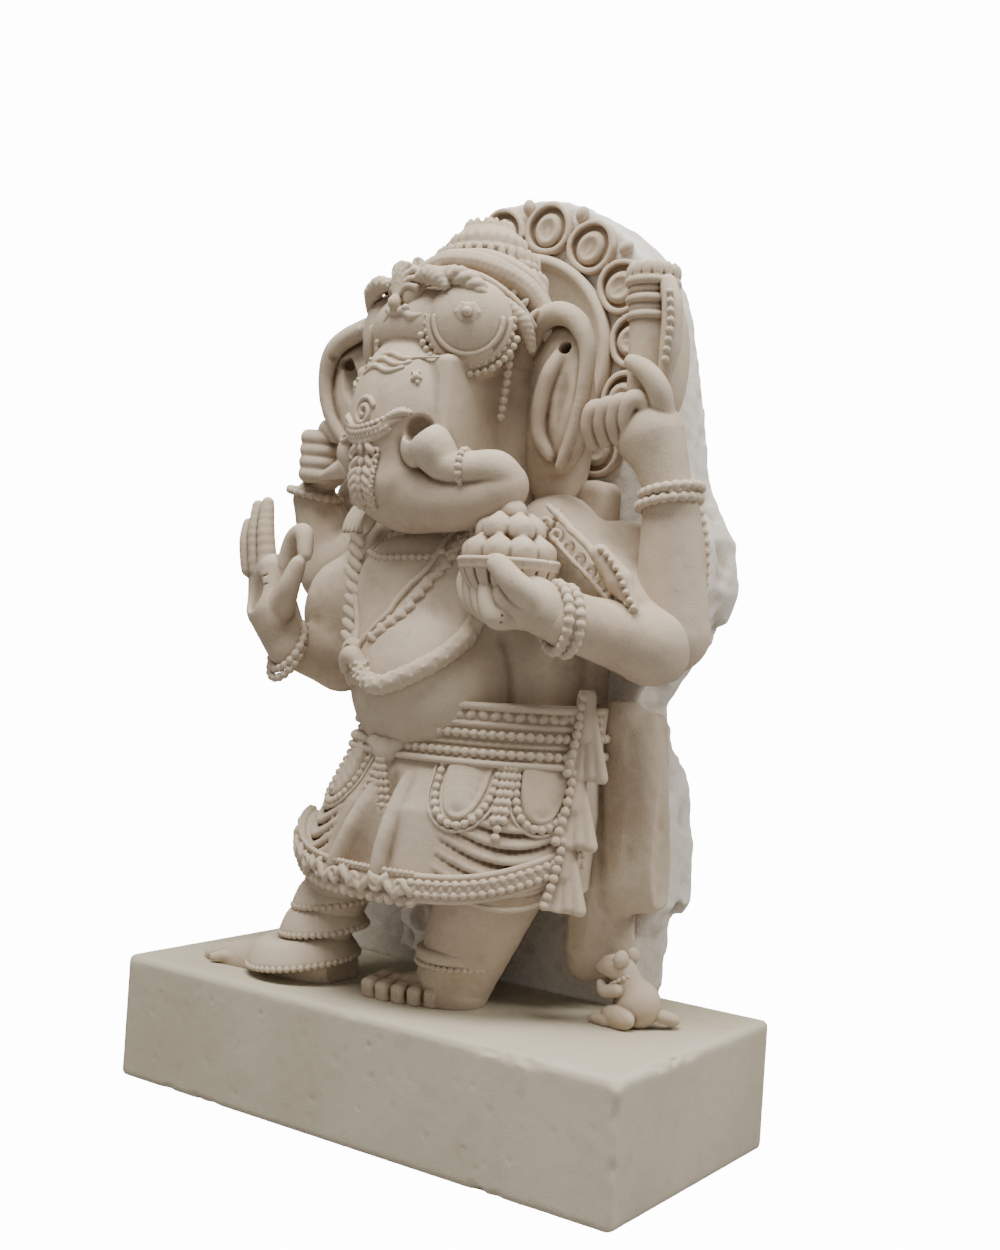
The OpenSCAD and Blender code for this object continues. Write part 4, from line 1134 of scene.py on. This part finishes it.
armlet_work = Carving(0.7)
band_line = laid(arm_skin, curve_points([(88, -30, 394), (104, -38, 382), (122, -38, 368), (134, -32, 352)],
                                        30), 0.8)
rope(armlet_work, band_line, [2.4], 0.6, count=40)
point = laid(arm_skin, [(126, -34, 372), (138, -32, 354), (147, -30, 336)], 1.6)
armlet_work.add(limb(point[0], point[1], 6, 8), 2)
armlet_work.add(limb(point[1], point[2], 8, 2.5), 2)
for side in BOTH:
    for step in range(9):
        t = step / 8
        width = 5 + 5 * math.sin(math.pi * min(1, t * 1.2))
        spot = point[0] + (point[2] - point[0]) * t + np.array((0.7, -0.5,
                                                                0.5)) * side * width * (1 - t * 0.7) + (0,
                -3, 0)
        armlet_work.add(ball(spot, 2.0), 0.5)
carved_piece("armlet_with_pointed_tassel", armlet_work, "armlet")

# ---------------------------------------------------------------------------
# Waist cloth: a close skirt from belt to hem with crescent folds over both
# thighs and a deep gap between the legs. The belt and swags follow its ovals.
# ---------------------------------------------------------------------------
hem_low, _ = node_box("waist_cloth")
CLOTH = np.array([(hem_low[2], 10, -18, 103, 70), (208, 20, -14, 94, 70), (249, 24, -4, 84, 60),
                  (268, 25, -4, 84, 60)], float)


def cloth_oval(z):
    """Centre and radii of the waist cloth's oval at a height."""
    return [np.interp(z, CLOTH[:, 0], CLOTH[:, i]) for i in (1, 2, 3, 4)]


def on_cloth(angle, z, out=0.0):
    """A point on the cloth at an angle in degrees and a height, moved out from it."""
    cx, cy, rx, ry = cloth_oval(z)
    a = math.radians(angle)
    return np.array((cx + (rx + out) * math.cos(a), cy + (ry + out) * math.sin(a), z))


def cloth_shell(z_low, z_high, out, edge=1.5):
    """A solid oval drum that follows the cloth between two heights."""
    def distance(x, y, z):
        cx, cy, rx, ry = (part.astype(np.float32) for part in cloth_oval(z))
        px, py, rx, ry = x - cx, y - cy, rx + out - edge, ry + out - edge
        k0 = np.sqrt((px / rx) ** 2 + (py / ry) ** 2)
        k1 = np.sqrt((px / rx ** 2) ** 2 + (py / ry ** 2) ** 2)
        flat = k0 * (k0 - 1) / np.maximum(k1, 1e-6)
        tall = np.abs(z - (z_low + z_high) / 2) - (z_high - z_low) / 2 + edge
        return np.sqrt(np.maximum(flat, 0) ** 2 + np.maximum(tall, 0) ** 2) + np.minimum(np.maximum(flat,
                tall), 0) - edge

    return np.array([-96.0 - out, -90 - out, z_low]), np.array([122.0 + out, slab_face, z_high]), distance


skirt = Carving(1.2).add(cloth_shell(hem_low[2], 257, 0))
for start, stop, top, drop, count in ((198, 240, 222, 34, 6), (292, 350, 214, 30, 6)):
    for fold in range(count):
        z = top - 9.5 * fold
        line = []
        for a in np.linspace(start, stop, 9):
            dip = drop * math.sin(math.pi * (a - start) / (stop - start)) * 0.42
            line.append(on_cloth(a, z - dip, -0.5))
        rope(skirt, line, [0.4, 1.3, 1.6, 1.3, 0.4], 2.6, count=20)
        rope(skirt, [p - (0, 0, 3.4) for p in line], [0.3, 1.1, 0.3], 1.4, count=20, cut=True)
rope(skirt, [on_cloth(263, 226, 2), on_cloth(262, 200, 3), on_cloth(260, 164, 3)], [4, 7, 10], 5, count=12,
     cut=True)
for side in BOTH:
    rope(skirt, [on_cloth(263 + side * 7, 226, -1), on_cloth(261 + side * 9, 196, 0),
                 on_cloth(260 + side * 11, 168, 0)], [3, 4.4, 5], 3, count=12)
skirt.cut(limb((14, -40, hem_low[2] - 8), (14, -36, hem_low[2] + 6), 42, 16), 3)
skirt.only(block((10, -25, 210), (140, 70, 60)))
carved_piece("draped_waist_cloth", skirt, "waist_cloth", uneven=0.15)

# ---------------------------------------------------------------------------
# Belt and swags: an engraved band with thin raised bands and two rows of
# beads, and bead swags that hang from it round their raised panels.
# ---------------------------------------------------------------------------
belt_low, belt_high = node_box("belt")
girdle = Carving(0.85).add(cloth_shell(belt_low[2], belt_high[2], 3.2, 1.0))
FRONT = np.linspace(178, 372, 60)
belt_bands = ((belt_high[2] - 2.2, 2.2, 3.2), (belt_high[2] - 13, 1.5, 3.4),
              (belt_low[2] + 13.4, 1.4, 3.4), (belt_low[2] + 2, 2.0, 3.4))
for z, thick, out in belt_bands:
    rope(girdle, [on_cloth(a, z, out) for a in FRONT[::3]], [thick], 0.6, count=60)
for step in range(34):
    a = 184 + 5.4 * step
    spot = on_cloth(a, belt_high[2] - 7.6, 3.2)
    girdle.add(oval(spot, (3.4, 1.5, 2.4), (0, 35 if step % 2 else -35, a + 90)), 0.6)
girdle.only(block((10, -25, 248), (140, 70, 60)))
carved_piece("engraved_belt", girdle, "belt")
belt_beads = [[on_cloth(a, z, 4.4) for a in FRONT] for z in (belt_low[2] + 19.2, belt_low[2] + 8)]
carved_row("belt_bead_rows", belt_beads, [], 2.7, pitch=5.6, proud=3.0, cord=0.5)

SWAGS = ((206, 244, 34), (284, 309, 35), (317, 346, 35))
swags, drops, panels = [], [], Carving(0.8)
for start, stop, deep in SWAGS:
    for inset, strands in ((0, swags), (5.2, None), (-3.6, None)):
        line = []
        for t in np.linspace(0, 1, 30):
            a = start + inset * 0.8 + (stop - start - inset * 1.6) * t
            fall = (deep - inset) * min(1.0, (4 * t * (1 - t)) ** 0.4)
            line.append(on_cloth(a, belt_low[2] - fall, 0.6))
        if strands is None:
            rope(panels, line, [1.1], 0.5, count=30)
        else:
            strands.append(line)
    half, lowest = (stop - start) * 0.56, 0.92
    for t in np.linspace(0, 0.72, 6):
        middle = on_cloth((start + stop) / 2, belt_low[2] - deep * t, -1.4)
        wide = half * math.sqrt(1 - (t / lowest) ** 2)
        panels.add(oval(middle, (wide, 3.4, deep * 0.2), (0, 0, (start + stop) / 2 + 90)), 3.0)
for angle, deep in ((313, 40), (311, 30), (315, 30), (225, 26)):
    drops.append([on_cloth(angle, z, 1.8) for z in np.linspace(belt_low[2], belt_low[2] - deep, 9)])
carved_piece("swag_panels", panels)
carved_row("bead_swags", swags + drops, ["belt_swags"], 2.6, pitch=5.0, proud=3.0, cord=0.6)

knot = Carving(0.75)
knot_top = on_cloth(256, belt_low[2] + 4, 6)
knot.add(oval(knot_top, (9, 7, 8)), 1)
knot.add(oval(knot_top + (-7, 0, 3), (7, 5, 5), (0, 30, 0)), 1.5)
knot.add(oval(knot_top + (7, 1, 3), (7, 5, 5), (0, -30, 0)), 1.5)
tassel_rows = []
for lean, length in ((-19, 40), (-6, 48), (8, 36)):
    foot = knot_top + (length * math.sin(math.radians(lean)) * 0.9, -3, -length)
    knot.add(limb(knot_top + (0, 1, -4), foot + (0, 3, 0), 3.4, 6.4), 2)
    for swing in (-1, 0, 1):
        tassel_rows.append(curve_points([knot_top + (swing * 2, -4, -6),
                                         foot + (swing * 4.2, -2.4 + abs(swing), 2)], 10))
    knot.add(oval(foot + (0, 2, -3), (7.4, 5.4, 6)), 1.5)
carved_piece("front_knot", knot)
carved_row("front_knot_beads", tassel_rows, [], 2.2, pitch=4.5)

# ---------------------------------------------------------------------------
# Hem band: a heavy rolled border with leaf scrolls on the right and centre,
# and a double row of beads towards the left.
# ---------------------------------------------------------------------------


def on_hem(angle, out=0.0, up=0.0):
    """A point on the hem's rising curve at an angle in degrees."""
    a = math.radians(angle)
    rise = 22 * math.cos(a) ** 4
    return np.array((10 + (105 + out) * math.cos(a), -18 + (71 + out) * math.sin(a), 162 + rise + up))


hem = Carving(0.85)
rope(hem, [on_hem(a, -4) for a in range(188, 362, 6)], [6.5], 1, count=90)
rope(hem, [on_hem(a, -0.5, 7.2) for a in range(188, 362, 6)], [2.0], 0.8, count=90)
rope(hem, [on_hem(a, -0.5, -6.6) for a in range(188, 362, 6)], [2.0], 0.8, count=90)
for step in range(30):
    a = 192 + 3.2 * step
    lift = 2.6 * math.sin(step * 1.3)
    hem.add(oval(on_hem(a, 2.0, lift), (6.2, 3.2, 3.0), (0, 48 if step % 2 else -48, a + 90)), 0.9)
    if step % 3 == 1:
        centre = on_hem(a + 1.2, 2.0, 0)
        rope(hem, hoop(centre + (0, -1, 0), 3.8, (90, 0, a + 90), 20, 330, count=10), [1.5], 0.5, count=14)
for step in range(24):
    a = 194 + 4 * step
    hem.add(oval(on_hem(a, 0.2, -9.2), (3.4, 2.4, 3.0), (0, 0, a + 90)), 0.8)
hem.only(block((10, -27.5, 170), (140, 68.4, 60)))
carved_piece("hem_scroll_band", hem, "hem_band")
carved_row("hem_bead_rows", [[on_hem(a, 1.6, up) for a in np.linspace(286, 358, 40)] for up in (3.4, -3.0)],
           [], 2.6, pitch=5.4)
carved_row("hem_lip_beads", [[on_hem(a, 0.8, 8.6) for a in np.linspace(190, 286, 40)]], [], 1.8, pitch=3.8)

# ---------------------------------------------------------------------------
# Hip sash and side drapery: tiers of flared cloth ends with bead strands on
# the left hip, and long folds that fall down the slab behind the leg.
# ---------------------------------------------------------------------------
sash = Carving(0.9)
strings = []
for tier, (top_z, length) in enumerate(((282, 48), (236, 42), (196, 40))):
    top = on_cloth(350 - 2 * tier, top_z, 1.5)
    foot = on_cloth(348 - 2 * tier, top_z - length, 4)
    sash.add(limb(top, (top + foot) / 2, 6, 6.5), 2)
    for fold in range(4):
        end = foot + (11 - 5.4 * fold, 6 - 3.8 * fold, 1.6 * (fold % 2))
        sash.add(limb(top + (2 - fold, 0, -4), end, 3.2, 4.6), 1.4)
    sash.cut(block(foot + (0, 0, -7), (18, 18, 5), (0, 8, 30), 1), 1)
    strings.append(curve_points([top + (1, -6, 0), (top + foot) / 2 + (0, -8.5, 0), foot + (-4, -9, 2)],
                                14))
sash.only(block((112, -30, 216), (20, 34, 70)))
carved_piece("hip_sash_tiers", sash, "hip_sash")
carved_row("hip_sash_beads", strings, [], 2.9, pitch=5.6)

folds = Carving(1.1)
folds.add(block((113, 40, 210), (26, 17, 62), (0, -4, 0), 8))
folds.add(block((104, 38, 150), (16, 12, 42), (0, -3, 0), 6), 5)
long_folds = (((100, 30, 270), (106, 32, 118), 9), ((112, 25, 276), (121, 26, 160), 8),
              ((122, 30, 262), (134, 33, 164), 8), ((92, 28, 250), (97, 24, 112), 8))
for top, foot, thick in long_folds:
    bend = (np.array(top) + foot) / 2 + (3, -3, 6)
    rope(folds, [top, bend, foot], [thick * 1.1, thick * 1.15, thick * 1.3], 10.0, count=16)
folds.only(block((116, 28, 190), (27, 17, 90)))
carved_piece("side_drapery_folds", folds, "side_drapery", uneven=0.3)

# ---------------------------------------------------------------------------
# Legs and feet: thick legs under the hem, square-cut toes on the left foot,
# a long flat right foot under a beaded cover, anklets stacked on the right.
# ---------------------------------------------------------------------------
floor_z = base_high[2]
legs = Carving(1.1)
legs.add(limb((-54, -32, hem_low[2] + 8), (-73, -41, floor_z + 16), 26, 18))
legs.add(limb((54, -18, hem_low[2] + 8), (32, -25, floor_z + 16), 35, 25))
legs.only(block((0, -26, floor_z + 60), (120, 70, 60.4), edge=0.4))
carved_piece("legs_under_the_hem", legs, "right_leg", "left_leg", uneven=0.25)


def toes(stone, tips, heel, tall):
    """Toes that fan from the instep, each with a bent joint and a cut nail."""
    for i, (x, y, thick) in enumerate(tips):
        tip = np.array((x, y, floor_z + thick * 0.8))
        back = tip + (np.array(heel) - tip) * 0.32 + (0, 0, tall)
        rope(stone, [back, (back + tip) / 2 + (0, 0, tall * 0.55), tip], [thick * 1.1, thick, thick * 0.86],
             1.2, count=8)
        ahead = (tip - back) / np.linalg.norm(tip - back)
        stone.add(oval(tip + ahead * thick * 0.42 + (0, 0, thick * 0.5),
                       (thick * 0.62, thick * 0.55, thick * 0.32)), 0.3)


left_toes = Carving(0.8)
left_toes.add(oval((30, -26, floor_z + 8), (25, 24, 20), (0, 0, -20)))
left_toes.add(oval((13, -36, floor_z + 4), (25, 17, 12), (0, 0, 17)), 5)
left_toe_tips = ((-11.5, -52, 8, 5.6), (-0.5, -52.5, 12, 5.2), (10, -50.5, 17, 5.0),
                 (20, -47.5, 22, 4.8), (29.5, -43.5, 30, 4.6))
for x, y, turn, wide in left_toe_tips:
    tip = np.array((x, y, floor_z + 5.8))
    ahead = np.array((math.sin(math.radians(turn)) - 0.25, -math.cos(math.radians(turn)), 0))
    left_toes.add(block(tip - ahead * 3, (wide, 11, 6.6), (9, 0, turn - 14), 3.2), 0.8)
    left_toes.add(oval(tip - ahead * 9 + (0, 0, 4), (wide * 0.9, 6, 5)), 2)
    left_toes.add(block(tip + ahead * 3.4 + (0, 0, 3.6), (wide * 0.62, 4, 2.6), (14, 0, turn - 14), 1.2),
                  0.2)
left_toes.only(block((10, -35, floor_z + 24), (80, 60, 24.6), edge=0.4))
carved_piece("left_foot_with_toes", left_toes, "left_foot")

right_sole = Carving(0.8)
right_sole.add(oval((-72, -40, floor_z + 8), (30, 24, 20), (0, 0, 10)))
rope(right_sole, [(-70, -42, floor_z + 8), (-104, -48, floor_z + 5), (-136, -54, floor_z + 2),
                  (-154, -56, floor_z + 1)], [18, 15, 9, 3.5], 4, count=20)
right_toe_tips = [(-140, -66, 3.6), (-148, -61, 3.8), (-151, -54, 4.0), (-146, -46, 4.0), (-138, -40, 4.2)]
toes(right_sole, right_toe_tips, (-104, -50, floor_z + 2), 2.0)
right_sole.only(block((-104, -46, floor_z + 16), (54, 30, 16.6), edge=0.4))
carved_piece("right_foot_flat", right_sole, "right_foot")


def lathe(name, profile, centre, lean=(0, 0, 0), count=72):
    """A ring turned from a closed outline of radius and height round a leaning upright axis."""
    m = turned_axes(lean)
    rows = []
    for a in around(count):
        rows += [np.array((r * math.cos(a), r * math.sin(a), z)) @ m + centre for r, z in profile]
    n = len(profile)
    faces = []
    for step in range(count):
        here, there = step * n, (step + 1) % count * n
        faces += [(here + i, there + i, there + (i + 1) % n, here + (i + 1) % n) for i in range(n)]
    return as_mesh(name, rows, faces)


FLARE = [(12, 0), (27, -3), (32, -2.4), (33.5, 0), (33, 2.6), (31, 6.4), (28.6, 10.4), (26, 13.2),
         (22, 14.6), (12, 15)]
anklet_lean = (5, -7, 0)
anklet_rows = []
for tier, (grow, drop, x, y) in enumerate(((-7, 51, -65, -36), (-4, 33, -69, -38), (4, 12, -80, -44))):
    centre = np.array((x, y, floor_z + drop))
    outline = [(max(r + grow, 12) if r > 12 else r, z) for r, z in FLARE]
    name, nodes = "right_anklet_%d" % tier, ["right_anklets"] if tier == 0 else []
    place_piece(name, lathe(name, outline, centre, anklet_lean), carved_stone, "carved_stone", *nodes)
    anklet_rows.append(hoop(centre + (0, 0, -1.0), 32.6 + grow, anklet_lean, count=80))
carved_row("right_anklet_beads", anklet_rows, [], 2.3, pitch=4.6, closed=True)
ring = [(20, -4), (26.6, -4), (28, -2.6), (28, 2.6), (26.6, 4), (20, 4)]
ankle_mesh = lathe("left_anklet_band", ring, np.array((34, -25, floor_z + 31)))
place_piece("left_anklet_band", ankle_mesh, carved_stone, "carved_stone", "left_anklet")
carved_row("left_anklet_beads", [hoop((34, -25, floor_z + 25.5), 27, (0, 0, 0), 150, 380, count=60)], [],
           1.9, pitch=4.0)

# ---------------------------------------------------------------------------
# Cloth end and mouse: the pale, roughly pointed cloth end left between the
# legs, and the small mouse that sits up on the plinth beside the left foot.
# ---------------------------------------------------------------------------
end_low, end_high = node_box("cloth_end")
end_mid = (end_low + end_high) / 2
cloth_tip = Carving(1.1).add(block(end_mid + (0, 0, 12), (17, 22, 24), (0, 6, 12), 2))
cloth_tip.add(limb(end_mid + (0, 6, -30), end_mid + (0, 4, 0), 12, 17), 2)
chip = np.random.default_rng(19)
for _ in range(26):
    way = chip.normal(size=3) * (1, 1, 0.6)
    way /= np.linalg.norm(way)
    cloth_tip.cut(oval(end_mid + way * (21, 27, 38), chip.uniform(6, 11, 3), chip.uniform(-40, 40, 3)), 1.0)
cloth_tip.only(block(end_mid + (0, 0, 1), (20.4, 26, 36.4)))
place_piece("rough_cloth_end", cloth_tip.mesh("rough_cloth_end", None, 0.3), rough_stone, "rough_stone",
            "cloth_end")

seat = np.array((140, 12, floor_z))
mouse = Carving(0.7)
mouse.add(oval(seat + (2, 2, 13), (15, 14, 15), (0, -18, 20)))
mouse.add(oval(seat + (-4, -1, 26), (9.5, 9, 11), (0, -24, 0)), 4)
rope(mouse, [seat + (-6, -2, 32), seat + (-13, -5, 35), seat + (-20, -7, 33)], [8, 6.4, 2.6], 2, count=12)
for side in BOTH:
    mouse.add(oval(seat + (-5, -2 + side * 7, 41), (3.6, 5.4, 5.4), (0, 0, -20)), 0.8)
    mouse.cut(oval(seat + (-9, -2 + side * 7, 41.5), (2.6, 3.4, 3.6)), 0.6)
    mouse.add(ball(seat + (-12.5, -4.5 + side * 4.6, 37.5), 1.6), 0.3)
    rope(mouse, [seat + (-6, -2 + side * 8, 22), seat + (-15, -4 + side * 6, 20),
                 seat + (-19, -5 + side * 3, 24)], [4.2, 3.4, 2.4], 1.2, count=10)
    mouse.add(oval(seat + (-4, side * 11, 6), (13, 6, 7.5), (0, 0, side * 12)), 1.5)
    rope(mouse, [seat + (-10, side * 12, 3), seat + (-21, side * 11, 2.4)], [4, 3], 1, count=6)
rope(mouse, [seat + (16, 6, 8), seat + (22, 14, 5), seat + (14, 21, 4)], [4, 3, 1.6], 1.5, count=12)
mouse.only(block(seat + (0, 4, 23), (27, 26, 23.4), edge=0.4))
carved_piece("seated_mouse", mouse, "mouse")
carved_row("mouse_collar", [hoop(seat + (-6, -2, 27.5), 8.6, (0, -30, 0), count=30)], [], 1.5, pitch=3.1,
           closed=True)

# ---------------------------------------------------------------------------
# Halo: a smooth dished plate with a rolled rim, and a ring of broad lotus
# petals, each with a raised edge and a sunk oval boss, on the rough slab. A
# bead cord hangs beside it on the slab's left shoulder.
# ---------------------------------------------------------------------------
halo_r = (halo_high[0] - halo_low[0]) / 2
plate = [(0.01, 0), (halo_r, 0), (halo_r, 6), (halo_r - 1.4, 8.2), (halo_r - 4, 9), (halo_r - 6.6, 8),
         (halo_r - 9, 5.4), (halo_r * 0.5, 3.4), (0.01, 3)]
dish_centre = np.array((halo_mid[0], halo_high[1], halo_mid[2]))
dish = lathe("halo_dish", plate, dish_centre, (90, 0, 0), 96)
place_piece("halo_dish", dish, carved_stone, "carved_stone", "halo_plate")

lotus = Carving(0.9)
petal_low, _ = node_box("halo_petals")


def leaf_point(t):
    """A point of a flat petal's outline, out from its root and across it."""
    narrowing = 1 - 0.22 * (0.5 - 0.5 * math.cos(t)) ** 3
    return 18 - 18 * math.cos(t), 19.2 * math.sin(t) * abs(math.sin(t)) ** -0.15 * narrowing


LEAF = [leaf_point(t) for t in np.linspace(0.12, 6.16, 24)]


def leaf_outline(angle, start, scale):
    """A lotus petal's outline on the slab, its root on the halo's rim."""
    c, s = math.cos(angle), math.sin(angle)
    points = [(halo_r + start + scale * u, scale * v) for u, v in LEAF]
    return [(halo_mid[0] + u * c - v * s, halo_mid[2] + u * s + v * c) for u, v in points]


petal_pitch = 24
for step in range(-2, 10):
    a = math.radians(90 + petal_pitch * (step - 3.5))
    tall = np.array((math.cos(a), 0, math.sin(a)))
    tilt = 90 - math.degrees(a)
    lotus.add(extruded(leaf_outline(a, 0, 1.0), petal_low[1] + 0.4, slab_face + 5, 1.6), 0.4)
    lotus.cut(extruded(leaf_outline(a, 4.0, 0.79), petal_low[1] - 6, petal_low[1] + 3.6, 1.0), 0.6)
    middle = np.array((halo_mid[0], petal_low[1] + 3.2, halo_mid[2])) + tall * (halo_r + 16.5)
    lotus.add(oval(middle, (10.4, 3.4, 11.6), (0, tilt, 0)), 0.8)
    lotus.cut(oval(middle + (0, -3.4, 0), (7.0, 2.6, 8.0), (0, tilt, 0)), 0.6)
    lotus.add(limb(middle - tall * 6, middle + tall * 4, 1.8, 0.8), 0.5)
    b = a + math.radians(petal_pitch / 2)
    bud = np.array((halo_mid[0] + (halo_r + 33) * math.cos(b), slab_face - 1.5,
                    halo_mid[2] + (halo_r + 33) * math.sin(b)))
    lotus.add(oval(bud, (4.2, 4.2, 5.6), (0, 90 - math.degrees(b), 0)), 0.8)
lotus.only(block((2, slab_face - 1, 503), (112.6, 6.6, 112.4)))
carved_piece("halo_lotus_petals", lotus, "halo_petals")
cord_path = curve_points([(138, 40, 424), (148, 40, 405), (155, 40, 378), (155, 40, 344)], 30)
carved_row("slab_shoulder_cord", [cord_path, cord_path + (-7, 1, 0)], ["slab_bead_cord"], 3.2, pitch=6.2,
           cord=0.7)
